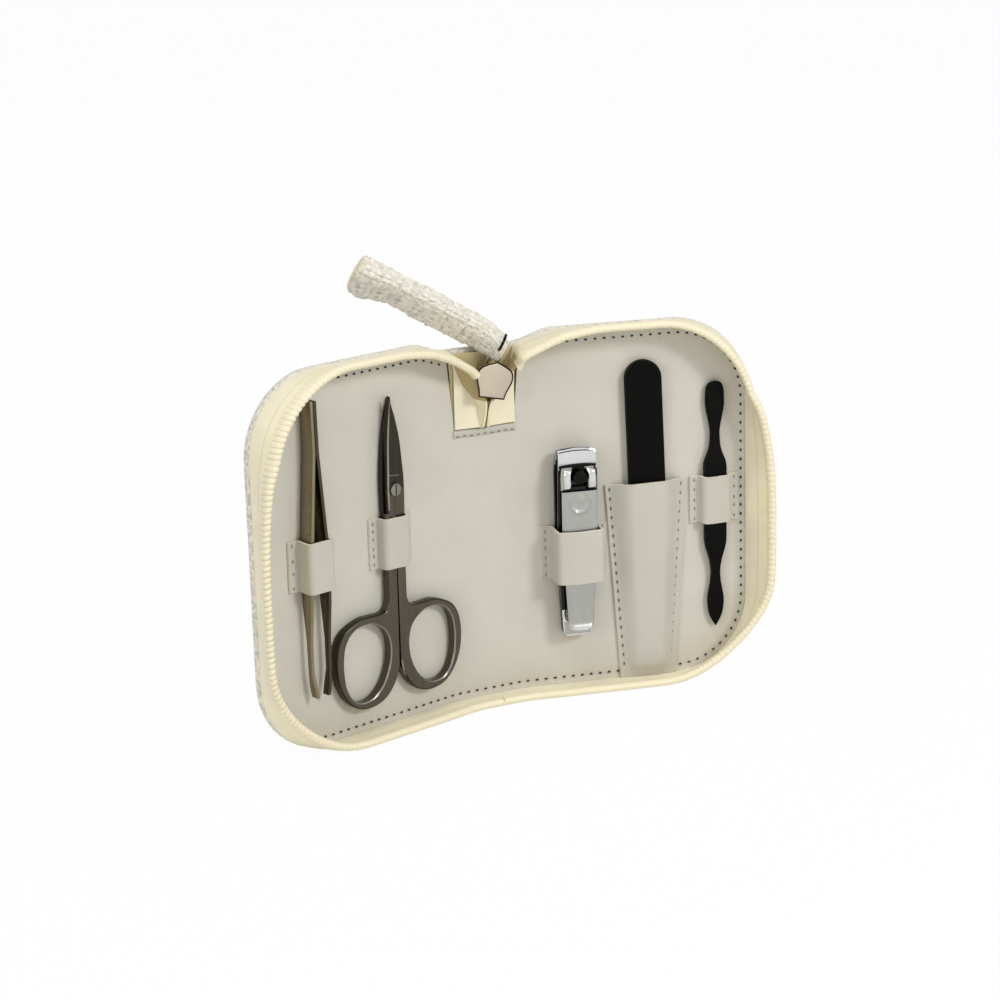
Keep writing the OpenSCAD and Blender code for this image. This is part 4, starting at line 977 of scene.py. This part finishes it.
class CASE_OT_zip_end(bpy.types.Operator):
    """Dresses what shows in the spine's window: backing tape, hem, closed teeth, slider and link"""

    bl_idname = "manicure_case.zip_end"
    bl_label = "Zip end"

    def execute(self, context):
        self.backing()
        self.hem()
        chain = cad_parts["zip_chain"]
        chain.data.materials.clear()
        chain.data.materials.append(finish("teeth"))
        slider = refined("slider_body", "zip_slider", ["slider", "slider_edge"], ((None, 0.5, 3),), edge_mat=1)
        attach(slider, "spine")
        self.shield_edge(slider)
        attach(refined("puller_link", "zip_link", ["chrome"], ()), "link")
        return {"FINISHED"}

    def shield_edge(self, slider):
        """Dark rolled edge round the slider's shield."""
        mesh = slider.data
        shield = max((f for f in mesh.polygons if f.normal.y < -0.8), key=lambda f: f.area)
        corners = [np.array(mesh.vertices[i].co) / MM for i in shield.vertices]
        middle = sum(corners) / len(corners)
        path = [c + unit(c - middle) * 0.3 - np.array(shield.normal) * 0.1 for c in corners]
        rolled = tube(path, [0.26] * len(path), 8, closed=True)
        attach(new_piece("zip_slider_edge", [rolled], ["slider_edge"]), "spine")

    def backing(self):
        """Yellowish tape behind the zip's end, sagging a little behind the tails."""

        def at(i, c):
            z = mix(WINDOW_Z - 0.4, CASE_H - SPINE_DROP - 1.1, i / 12)
            wide = (WINDOW_W / 2 + 0.3) + 1.2 * i / 12
            sag = 2.4 * smooth((z - SLIDER_Z - 1) / 9) - 0.1
            x = mix(-wide, wide, c / 12)
            return at_spine(WINDOW_X + x, -0.25 + sag * math.sin(math.pi * c / 12), z), (x, z)

        sheet = thick_sheet(*lattice(range(13), range(13), at), -0.35)
        attach(new_piece("zip_backing", [sheet], ["garage"], 50), "spine", ["zip_garage"])

    def hem(self):
        """Folded hem under the window, with its row of stitches."""
        profile = [(0.05, -2.5), (0.42, -2.2), (0.6, -1.4), (0.62, -0.6), (0.5, -0.05), (0.15, 0.12), (-0.3, 0.05)]

        def at(i, turn):
            n, h = turn
            x = WINDOW_X + mix(-WINDOW_W / 2 - 0.7, WINDOW_W / 2 + 0.7, i / 30)
            wave = 0.12 * math.sin(i * 0.35)
            return at_spine(x, n + 0.05 * math.sin(i * 1.3), WINDOW_Z + h + wave), (x, WINDOW_Z + h)

        parts = [thick_sheet(*lattice(range(31), profile, at), 0.3, 0, 1)]
        for k in range(9):
            x = WINDOW_X + mix(-WINDOW_W / 2 + 0.6, WINDOW_W / 2 - 0.6, k / 8)
            foot = at_spine(x, 0.62, WINDOW_Z - 1.75 + 0.12 * math.sin(k * 2.1))
            parts.append(stitch(foot, (1, 0, 0.1), (0, -1, 0), 1.1, 0.2))
        attach(new_piece("window_hem", parts, ["strap", "cut_edge", "pale_thread"]), "spine")


# ---------------------------------------------------------------- pull


def pull_frame():
    """Start of the woven pull, its direction, and the directions across its wide face and out of it."""
    rise, turn, roll = (math.radians(v) for v in (PULL_RISE, PULL_TURN, PULL_ROLL))
    way = np.array([-math.cos(rise) * math.cos(turn), math.cos(rise) * math.sin(turn), math.sin(rise)])
    level = np.array([-math.sin(turn), -math.cos(turn), 0.0])
    up = np.cross(way, level)
    wide = level * math.cos(roll) + up * math.sin(roll)
    return np.array(PULL_EYE) + 0.05 * way, way, wide, np.cross(way, wide)


def oval(a, room, px=0.5, py=0.62):
    """Point of the pull's rounded section at the angle a, that far inside its full width and thickness."""
    ca, sa = math.cos(a), math.sin(a)
    return ((PULL_W / 2 - room) * math.copysign(abs(ca) ** px, ca),
            (PULL_T / 2 - room) * math.copysign(abs(sa) ** py, sa))


class CASE_OT_pull(bpy.types.Operator):
    """Makes the padded woven pull and its metal end"""

    bl_idname = "manicure_case.pull"
    bl_label = "Woven pull"

    AROUND, ROWS, STRANDS = 150, 190, 11
    CLAMP_SCALE = 0.62

    def execute(self, context):
        sizes = context.scene.case_sizes
        start, way, wide, face = pull_frame()
        pitch = 1.3 * sizes.weave_pitch

        def at(i, k):
            s = PULL_L * i / self.ROWS
            # near end: folded round the metal end and narrower; far end: a squarer folded nose
            near, far = min(1.0, s / 7.0), min(1.0, (PULL_L - s) / 2.2)
            taper = (0.66 + 0.34 * math.sqrt(1 - (1 - near) ** 2)) * (0.62 + 0.38 * math.sqrt(1 - (1 - far) ** 2))
            flare = math.exp(-(((s - 45) / 6) ** 2))
            swell = 1 + 0.26 * flare - 0.03 * math.sin(s * 0.21)
            droop = np.array([0.9, 0.0, -2.6]) * (1 - near) ** 2
            a = 2 * math.pi * k / self.AROUND
            px, py = oval(a, 0.35)
            per = a / (2 * math.pi) * self.STRANDS * pitch
            drift = 0.35 * math.sin(s * 0.9 + 2.0 * math.cos(a)) + 0.25 * math.sin(s * 2.3 + 5 * a)
            h = weave_height(s + drift + WEAVE_PHASE, per + 0.25 * math.sin(s * 1.1) + WEAVE_PHASE, pitch) - 0.5
            lump = 0.22 * math.sin(s * 0.8 + 3 * a) * math.sin(s * 0.37 + a)
            grow = (sizes.weave_relief * 2.0 * float(h) + lump) * (0.25 + 0.75 * min(near, far))
            out = unit((px / (PULL_W / 2) ** 2, py / (PULL_T / 2) ** 2))
            x, y = (px - 1.5 * flare) * taper * swell + out[0] * grow, py * taper * swell + out[1] * grow
            return tuple(start + way * s + wide * x + face * y + droop), (s, per)

        points, faces, uvs, _ = grid(*lattice(range(self.ROWS + 1), range(self.AROUND), at), wrap=True)
        last = self.ROWS * self.AROUND
        # the last rows and the far end's cap take that darker weave: painted shade
        mats = [1 if f >= last - 3 * self.AROUND else 0 for f in range(len(faces))] + [0, 1]
        faces += [tuple(reversed(range(self.AROUND))), tuple(range(last, last + self.AROUND))]
        faces = [tuple(reversed(f)) for f in faces]
        piece = new_piece("woven_pull", [(points, faces, uvs, mats)], ["woven_pull", "woven_end"], 70)
        attach(piece, "pull", ["pull_strap"])

        # the metal end is drawn smaller, so that it stays inside the cloth folded round it
        clamp = refined("pull_clamp", "pull_end", ["pin"])
        middle = sum((v.co for v in clamp.data.vertices), Vector()) / len(clamp.data.vertices)
        for v in clamp.data.vertices:
            v.co = middle + (v.co - middle) * self.CLAMP_SCALE
        attach(clamp, "pull")
        path = []
        for i in range(15):
            x, y = (0.87 * v for v in oval(math.radians(mix(-80, 70, i / 14)), 0.1))
            path.append(start + way * 1.2 + wide * x + face * y + np.array([0.62, 0.0, -1.75]))
        crimp = tube(path, [0.15] + [0.42] * 13 + [0.15], 8)
        attach(new_piece("pull_crimp", [crimp], ["pin"]), "pull")
        return {"FINISHED"}


# ---------------------------------------------------------------- straps and pocket


SEWN = ["strap", "cut_edge", "pale_thread"]


def loop_strap(name, side, u, z0, h, w, tool_h, stitches):
    """Leatherette strap looped over a tool of width w and height tool_h, sewn down at both feet with that
    many stitches at each."""
    a, b, t = w / 2 + STRAP_PLAY, tool_h + STRAP_PLAY, STRAP_T
    o = min(1.0 + t, a)
    bend = [math.radians(15 * i) for i in range(7)]
    foot = [(a + t + STRAP_FOOT, t), (a + t + STRAP_FOOT * 0.5, t), (a + t + 0.45, t), (a + t + 0.1, t + 0.15),
            (a + t, t + 0.7)]
    line = [(-x, n) for x, n in foot] + [(-a - t, b + t - o)]
    line += [(-a - t + o - o * math.cos(x), b + t - o + o * math.sin(x)) for x in bend[1:]]
    line += [(mix(-a - t + o, a + t - o, i / 4), b + t + 0.1 * math.sin(math.pi * i / 4)) for i in range(1, 4)]
    line += [(a + t - o + o * math.sin(x), b + t - o + o * math.cos(x)) for x in bend]
    line += reversed(foot)
    stations = list(zip(line, lengths([(*p, 0) for p in line])))[:: SIDES[side]]

    def at(i, station):
        (p, n), r = station
        z = mix(z0, z0 + h, i / 10)
        return place(side, u + p, n, z + 0.1 * math.sin(r * 0.6)), (r, z)

    parts = [thick_sheet(*lattice(range(11), stations, at), -t, 0, 1)]
    out = np.array(place(side, u, 1, 0)) - np.array(place(side, u, 0, 0))
    for way, number in zip((-1, 1), stitches):
        for i in range(number):
            z = mix(z0 + 1.3, z0 + h - 1.3, i / (number - 1)) + 0.25 * math.sin(i * 2.3)
            parts.append(stitch(place(side, u + way * (a + t + 1.7), t - 0.05, z), (0, 0, 1), out, 1.1, 0.22))
    piece = new_piece(name + "_sewn", parts, SEWN, 50)
    attach(piece, side + "_half", [name])
    bevel = piece.modifiers.new("edge", "BEVEL")
    bevel.width, bevel.segments, bevel.limit_method, bevel.angle_limit = 0.16 * MM, 2, "ANGLE", math.radians(50)


class CASE_OT_straps(bpy.types.Operator):
    """Makes the four loop straps that hold the tools"""

    bl_idname = "manicure_case.straps"
    bl_label = "Loop straps"

    def execute(self, context):
        loop_strap("tweezers_strap", "left", TWEEZERS_U, 50, 15.2, 6.84, 5.9, (4, 4))
        loop_strap("scissors_strap", "left", SCISSORS_U, 50.4, 15.4, 7.2, 3.7, (5, 6))
        loop_strap("clipper_strap", "right", CLIPPER_U, 36, 16.6, 12.4, 8.8, (6, 5))
        loop_strap("pusher_strap", "right", PUSHER_U, 49.4, 15, 7.0, 2.7, (5, 5))
        return {"FINISHED"}


class CASE_OT_file_pocket(bpy.types.Operator):
    """Makes the tapered pocket for the nail file, stitched down both sides"""

    bl_idname = "manicure_case.file_pocket"
    bl_label = "File pocket"

    COLUMNS, ROWS = 48, 40

    def execute(self, context):
        parts = [thick_sheet(*lattice(range(self.ROWS + 1), range(self.COLUMNS + 1), self.at), -STRAP_T, 0, 1)]
        out = np.array(place("right", 0, 1, 0)) - np.array(place("right", 0, 0, 0))
        for way, inset in ((-1, 1.3), (1, 2.0)):
            for i in range(20):
                z = 62.6 - i * 3.0
                foot, above = (place("right", POCKET_U + way * (self.width(v) / 2 - inset), STRAP_T, v)
                               for v in (z, z + 1))
                parts.append(stitch(foot, np.array(above) - np.array(foot), out, 1.15, 0.25))
        piece = new_piece("file_pocket_sewn", parts, ["strap", "cut_edge", "grey_thread"], 50)
        attach(piece, "right_half", ["file_pocket"])
        return {"FINISHED"}

    def at(self, r, c):
        """Point of the pocket's outer face: flat along both seams and raised over the file."""
        z0 = mix(POCKET_LOW, POCKET_TOP, r / self.ROWS)
        k = (z0 - POCKET_FOOT) / (POCKET_TOP - POCKET_FOOT)
        bulge = mix(2.4, 3.5, max(0.0, k)) * (0.12 + 0.88 * smooth((z0 - POCKET_LOW) / POCKET_FOOT))
        x = 2 * c / self.COLUMNS - 1
        m = min(1.0, max(0.0, (abs(x) - 0.34) / 0.6))
        n = STRAP_T + (1 + math.cos(math.pi * m)) / 2 * bulge
        n += 0.1 * math.sin(z0 * 0.23 + 2.1 * x) * (1 - abs(x)) - 0.12 * math.exp(-(((abs(x) - 0.9) / 0.03) ** 2))
        z = z0 + 0.7 * smooth(k * 3 - 2) * (1 - x * x) * (0.6 + 0.4 * x)
        across = x * self.width(z0) / 2
        return place("right", POCKET_U + across, n, z), (across, z)

    def width(self, z):
        """Width of the pocket at height z."""
        return mix(18.4, 26.6, (z - POCKET_FOOT) / (POCKET_TOP - POCKET_FOOT))


# ---------------------------------------------------------------- tools


RIGHT_WAY = Vector((math.cos(math.radians(FOLD["right"])), -math.sin(math.radians(FOLD["right"])), 0))


class CASE_OT_tools(bpy.types.Operator):
    """Dresses the tweezers, scissors, nail clipper, nail file and cuticle pusher"""

    bl_idname = "manicure_case.tools"
    bl_label = "Tools"

    def execute(self, context):
        handle = (lambda m: m.z < SCREW_Z - 13, 0.95, 4)
        blade = (lambda m: m.z >= SCREW_Z - 13, 0.2, 2)
        # on the scissors the second finish is a painted dark reflection and the third a painted highlight
        scissors = ["gunmetal", "gunmetal_dark", "gunmetal_edge"]
        plain, thin = ((None, 0.15, 2),), ((None, 0.1, 2),)
        dressed = [
            # the tweezers' rounded edges take the lighter steel: a painted highlight
            ("tweezers_arm_left", "tweezers", ["tweezers", "tweezers_edge"], ((None, 0.22, 2),), "tweezer_steel"),
            # the right arm is painted darker: painted shade
            ("tweezers_arm_right", "tweezers_arm", ["tweezers_shade", "tweezers_edge"], ((None, 0.22, 2),),
             "tweezer_steel"),
            ("scissors_blade_back", "scissors", scissors, (handle, blade), "gunmetal"),
            ("scissors_blade_front", "scissors_front", scissors, (handle, blade), "gunmetal"),
            ("scissors_screw", "scissors_front", ["screw"], thin, "screw"),
            ("clipper_lower_jaw", "clipper", ["chrome", "chrome_side"], plain, "clipper_chrome"),
            ("clipper_rivet", "clipper", ["chrome"], thin, "clipper_chrome"),
            ("clipper_upper_jaw", "upper_jaw", ["chrome", "chrome_side"], plain, "clipper_chrome"),
            ("clipper_pin", "clipper_pin", ["pin"], ((None, 0.3, 3),), "clipper_chrome"),
            ("file_handle", "nail_file", ["black_plastic", "black_rim"], ((None, 0.45, 3),), "file_handle"),
            ("file_blade", "nail_file", ["file_steel"], ((None, 0.08, 1),), "file_blade"),
            ("cuticle_pusher", "pusher", ["black_steel"], ((None, 0.35, 2),), "pusher_black"),
        ]
        for node, body, coats, rounds, slot in dressed:
            # the rounded edges take the second finish: a painted highlight on the tweezers and on the file handle
            edge_mat = 1 if coats[-1] in ("tweezers_edge", "black_rim") else -1
            piece = refined(node, node + "_finished", coats, rounds, edge_mat)
            for f in piece.data.polygons:
                if "gunmetal_dark" in coats:
                    f.material_index = self.scissors_mat(f)
                elif "chrome_side" in coats:
                    # painted shade: between the bright head and foot the jaws take the dark chrome, as the lever's
                    # shade, and so do their sideways faces
                    painted_shade_part = 23 * MM < f.center.z < 72.4 * MM or abs(f.normal @ RIGHT_WAY) > 0.75
                    f.material_index = int(painted_shade_part)
            attach(piece, body)
        self.blade_edges()
        self.grip_ridges()
        self.lever()
        self.jaw_bands()
        return {"FINISHED"}

    # middles of the scissors' rings, as world (x, z), and x between them
    RINGS, BETWEEN_RINGS = ((-44.76, 24.45), (-20.69, 23.2)), -32.7

    def scissors_mat(self, face):
        """Painted dark reflection above the ground blade's heel; on the rings a painted dark reflection on the outward
        faces and a painted highlight on the inward faces that face out from the lining.
        """
        if face.center.z > (SCREW_Z - 9) * MM:
            return 1
        if face.center.z > 38 * MM:
            return 0
        across, front = (np.array(place("left", *v)) - np.array(place("left", 0, 0, 0)) for v in ((1, 0, 0), (0, 1, 0)))
        n, c = np.array(face.normal), np.array(face.center) / MM
        middle = self.RINGS[0] if c[0] < self.BETWEEN_RINGS else self.RINGS[1]
        x, z = (c[0] - middle[0]) / across[0], c[2] - middle[1]
        outward = (n @ across * x + n[2] * z) / max(0.1, math.hypot(x, z))
        if outward > 0.45:
            return 1
        return 2 if outward < -0.35 and n @ front > 0.15 else 0

    def jaw_bands(self):
        """Curved bands across the jaws' head: a dark band by the pin and two thin dark lines, painted shade, with a
        bright chrome band between; and on their foot a satin band with chrome edges, a painted highlight.
        """
        depth = ((69.6, 6.67), (72, 6.57), (73, 6.46), (74, 6.35), (75.2, 6.13), (76, 5.91), (77, 5.55), (77.6, 5.3))
        heights, depths = zip(*depth)
        # (low, high, half width, material): the pin's steel and the dark chrome are painted shade
        bands = ((70.2, 72.5, 5.8, 3), (72.5, 73.0, 5.9, 1), (73.0, 76.7, 5.8, 0), (76.7, 77.0, 5.6, 1))
        parts = []
        for low, high, half, mat in bands:

            def at(i, k):
                x = mix(-1, 1, k / 12)
                z = mix(low, high, i / 6) + 0.45 * (1 - x * x) * (1 if low > 72 or i else 0)
                n = float(np.interp(z, heights, depths)) + 0.08
                return place("right", CLIPPER_U + x * half, n, z), (k, i)

            parts.append(thick_sheet(*lattice(range(7), range(13), at), -0.06, mat, mat))
        # the foot's satin band, its chrome edges a painted highlight
        foot = lattice((18.0, 20, 22), (-4.2, 0, 4.2), lambda z, x: (place("right", CLIPPER_U + x, 3.5, z), (x, z)))
        parts.append(thick_sheet(*foot, -0.06, 2, 0))
        piece = new_piece("clipper_jaw_bands", parts, ["chrome", "chrome_side", "lever", "pin"], 40)
        attach(piece, "upper_jaw")

    def blade_edges(self):
        """Ground edge along the front blade, and the line where its grinding ends."""
        n = 0.4 + 2 * BLADE_T + 0.1 + 0.02
        line = [(0.8, 27.0, 0.12), (1.7, 20.5, 0.6), (2.35, 13.8, 0.8), (2.62, 7.0, 0.85), (2.82, 0.8, 0.85),
                (2.65, -6.5, 0.6)]
        stations = [row[0] for row in catmull([[p] for p in line], 5)]
        edge = ((1.0, -0.05), (0.9, 0.05), (0.25, 0.03), (0.1, -0.06))
        groove = ((0.16, -0.05), (0.08, 0.06), (-0.08, 0.06), (-0.16, -0.05))

        def on_edge(station, turn):
            (x, z, w), (k, h) = station, turn
            return place("left", SCISSORS_U + x - w * k, n + h, SCREW_Z + z), (k, z)

        def on_groove(x, turn):
            dz, h = turn
            return place("left", SCISSORS_U - x, n + h, SCREW_Z + 4.3 + dz - 0.12 * x), (dz, x)

        parts = [grid(*lattice(stations, edge, on_edge)), grid(*lattice((-2.6, -1.3, 0, 1.3, 2.5), groove, on_groove))]
        piece = new_piece("scissors_ground_edge", parts, ["gunmetal_edge"], 40)
        piece.modifiers.new("thickness", "SOLIDIFY").thickness = 0.05 * MM
        attach(piece, "scissors_front")

    def grip_ridges(self):
        """Fine ridges pressed into the outside of the tweezers' left arm, above its strap, in a lighter steel that is a
        painted highlight.
        """
        parts = []
        for k in range(13):
            z = 66.5 + k * 1.05
            # the arm's half width, as a share of its widest, by the share of its length from the top
            share = float(np.interp((TWEEZERS_TOP - z) / TWEEZERS_L, (0.23, 0.42, 0.55, 0.72), (0.44, 0.78, 0.94, 1.0)))
            u = TWEEZERS_U + share * 3.8
            path = [place("left", u - 0.02, 3.1 + d, z) for d in (0.4, 1.2, 2.2)]
            parts.append(tube(path, [0.1, 0.2, 0.16], 6, up=(0, 0, 1)))
        attach(new_piece("tweezers_grip_ridges", parts, ["tweezers_edge"]), "tweezers")

    def lever(self):
        """Folded lever: a crowned plate with an embossed thumb mark, a turned-up tip and two ears at the pin."""
        parts = [self.plate(), self.saddle(), self.ear(-1), self.ear(1)]
        piece = new_piece("clipper_lever_folded", parts, ["lever", "chrome", "chrome_side"], 40)
        attach(piece, "lever", ["clipper_lever"])

    def plate(self):
        """The lever's plate, crowned, with a ring and a boss embossed near the pin."""
        top, columns = PIN_Z - 4.5, 44

        def at(i, k):
            z = mix(LEVER_LOW, top, i / 90)
            half = float(np.interp(z, (LEVER_LOW, LEVER_LOW + 2, 48.8, top), (3.97, 3.97, 5.6, 5.6)))
            half -= 2.0 * (1 - math.sqrt(max(0.0, 1 - (max(0.0, LEVER_LOW + 2 - z) / 2) ** 2)))
            n = float(np.interp(z, (LEVER_LOW, 28.5, 48.8, top), (8.1, 7.9, 8.5, 8.7)))
            n += 0.55 * smooth((LEVER_LOW + 2.2 - z) / 1.6)
            x = mix(-1, 1, k / columns)
            x = math.copysign(abs(x) ** 0.85, x)
            r = math.hypot(x * half / 3.1, (z - PIN_Z + 7.6) / 3.6)
            mark = 0.42 * math.exp(-(((r - 1) / 0.14) ** 2)) * smooth((PIN_Z - 6.0 - z) / 2 + 0.5)
            mark += 0.22 * smooth((0.62 - math.hypot(x * half / 2.6, (z - PIN_Z + 6.9) / 2.4)) / 0.3)
            return place("right", CLIPPER_U + x * half, n + mark - 0.45 * abs(x) ** 9, z), (x * half, z)

        # the plate's edges take the dark chrome: painted shade
        points, faces, uvs, mats = thick_sheet(*lattice(range(91), range(columns + 1), at), -0.95, 0, 2)
        # the turned-up tip takes the bright chrome: a painted highlight
        for f in range(2 * columns):
            mats[2 * f] = 1
        return points, faces, uvs, mats

    def saddle(self):
        """Low part of the lever between its plate and its ears, painted dark as their shade."""
        heights = ((PIN_Z - 6.0, 7.7), (PIN_Z - 4.6, 7.5), (PIN_Z - 3.2, 7.6))
        sheet = lattice(heights, (-5.2, -2.4, 2.4, 5.2),
                        lambda zn, x: (place("right", CLIPPER_U + x, zn[1], zn[0]), (x, zn[0])))
        return thick_sheet(*sheet, -0.7, 2, 2)

    def ear(self, side):
        """Domed ear on one side of the pin."""

        def at(i, k):
            x, y = mix(-1, 1, k / 12), mix(-1, 1, i / 14)
            rise = (1 - abs(x) ** 3.2) ** 0.6 * (1 - abs(y) ** 4) ** 0.6
            u = side * (3.95 + 1.7 * x) - 0.35 * side * max(0.0, y) ** 2
            return place("right", CLIPPER_U + u, 7.5 + 2.1 * rise, PIN_Z - 0.6 + 3.55 * y), (x, y)

        # the ear takes the bright chrome, a painted highlight, and its edges the dark chrome, painted shade
        return thick_sheet(*lattice(range(15), range(13)[::side], at), -0.25, 1, 2)


# ---------------------------------------------------------------- stage


class CASE_OT_stage(bpy.types.Operator):
    """Makes the floor, the light and the camera"""

    bl_idname = "manicure_case.stage"
    bl_label = "Stage"

    def execute(self, context):
        scene = context.scene
        self.floor(scene)
        self.daylight(scene)
        self.lamps(scene)
        self.camera(scene)
        scene.view_settings.view_transform = "Standard"
        return {"FINISHED"}

    def floor(self, scene):
        """White paper under the object."""
        mesh = bpy.data.meshes.new("floor")
        mesh.from_pydata([(-4, -4, 0), (4, -4, 0), (4, 4, 0), (-4, 4, 0)], [], [(0, 1, 2, 3)])
        floor = bpy.data.objects.new("floor", mesh)
        floor.location.z = -0.0004
        scene.collection.objects.link(floor)
        m, tree, bsdf = start_material("white_paper", linear("#F4F3F0"), 0.9)
        paper = add(tree, "ShaderNodeTexNoise", Scale=300.0)
        bump = add(tree, "ShaderNodeBump", Height=paper.outputs["Fac"], Strength=0.02)
        tree.links.new(bump.outputs[0], bsdf.inputs["Normal"])
        # the camera sees the paper nearly white, and the object's shadow on it stays
        glow = add(tree, "ShaderNodeEmission", Color=(1, 1, 1, 1), Strength=1.0)
        path = add(tree, "ShaderNodeLightPath")
        share = calc(tree, "MULTIPLY", path.outputs["Is Camera Ray"], 0.965)
        both = add(tree, "ShaderNodeMixShader", in_0=share, in_1=bsdf.outputs[0], in_2=glow.outputs[0])
        tree.links.new(both.outputs[0], tree.nodes["Material Output"].inputs["Surface"])
        mesh.materials.append(m)

    def daylight(self, scene):
        """White background, softer as a light than it looks."""
        world = bpy.data.worlds.new("studio")
        scene.world = world
        world.use_nodes = True
        tree = world.node_tree
        tree.nodes.clear()
        path = add(tree, "ShaderNodeLightPath")
        seen = calc(tree, "MAXIMUM", path.outputs["Is Camera Ray"], path.outputs["Is Glossy Ray"])
        seen = calc(tree, "MAXIMUM", seen, path.outputs["Is Transmission Ray"])
        soft = add(tree, "ShaderNodeBackground", Color=(1, 1, 1, 1), Strength=0.47)
        white = add(tree, "ShaderNodeBackground", Color=(1, 1, 1, 1), Strength=1.0)
        both = add(tree, "ShaderNodeMixShader", in_0=seen, in_1=soft.outputs[0], in_2=white.outputs[0])
        add(tree, "ShaderNodeOutputWorld", Surface=both.outputs[0])

    def lamps(self, scene):
        """Three area lamps that face the object's lower half."""
        for name, at, size, power in (
            ("key", (0.38, -0.9, 0.62), 0.22, 5.0),
            ("top", (-0.3, -0.3, 1.2), 0.5, 4.0),
            ("side", (-1.0, -0.4, 0.35), 0.5, 2.1),
        ):
            lamp = bpy.data.lights.new(name, "AREA")
            lamp.size, lamp.energy = size, power
            obj = bpy.data.objects.new(name, lamp)
            obj.location = at
            obj.rotation_euler = (Vector((0, 0, 0.06)) - Vector(at)).to_track_quat("-Z", "Y").to_euler()
            scene.collection.objects.link(obj)

    def camera(self, scene):
        """Camera a little above the object, turned to its left and rolled."""
        a, e, roll = math.radians(-26.67), math.radians(15.35), math.radians(-1.6)
        back = Vector((math.sin(a) * math.cos(e), -math.cos(a) * math.cos(e), math.sin(e)))
        x = Vector((0, 0, 1)).cross(back).normalized()
        y = back.cross(x)
        right = math.cos(roll) * x + math.sin(roll) * y
        up = -math.sin(roll) * x + math.cos(roll) * y
        data = bpy.data.cameras.new("camera")
        data.lens, data.sensor_width = 94.2, 36.0
        camera = bpy.data.objects.new("camera", data)
        camera.matrix_world = Matrix((right, up, back)).transposed().to_4x4()
        camera.location = Vector((5.3, -1.6, 62.7)) * MM + back * 0.8
        scene.collection.objects.link(camera)
        scene.camera = camera


class CASE_PT_panel(bpy.types.Panel):
    """Lists the case's operators and settings"""

    bl_label = "Manicure case"
    bl_idname = "CASE_PT_panel"
    bl_space_type = "VIEW_3D"
    bl_region_type = "UI"
    bl_category = "Manicure case"

    def draw(self, context):
        column = self.layout.column()
        for group in (context.scene.case_sizes, context.scene.case_colours):
            for name in group.__annotations__:
                column.prop(group, name)
        for operator in OPERATORS:
            column.operator(operator.bl_idname)


OPERATORS = (
    CASE_OT_stage,
    CASE_OT_covers,
    CASE_OT_linings,
    CASE_OT_stitches,
    CASE_OT_zip_tapes,
    CASE_OT_zip_teeth,
    CASE_OT_zip_end,
    CASE_OT_pull,
    CASE_OT_straps,
    CASE_OT_file_pocket,
    CASE_OT_tools,
)


def register():
    for cls in (CaseSizes, CaseColours, *OPERATORS, CASE_PT_panel):
        bpy.utils.register_class(cls)
    bpy.types.Scene.case_sizes = PointerProperty(type=CaseSizes)
    bpy.types.Scene.case_colours = PointerProperty(type=CaseColours)


def unregister():
    del bpy.types.Scene.case_colours
    del bpy.types.Scene.case_sizes
    for cls in reversed((CaseSizes, CaseColours, *OPERATORS, CASE_PT_panel)):
        bpy.utils.unregister_class(cls)


def main():
    register()
    for operator in OPERATORS:
        group, name = operator.bl_idname.split(".")
        getattr(getattr(bpy.ops, group), name)()


if __name__ == "__main__":
    main()
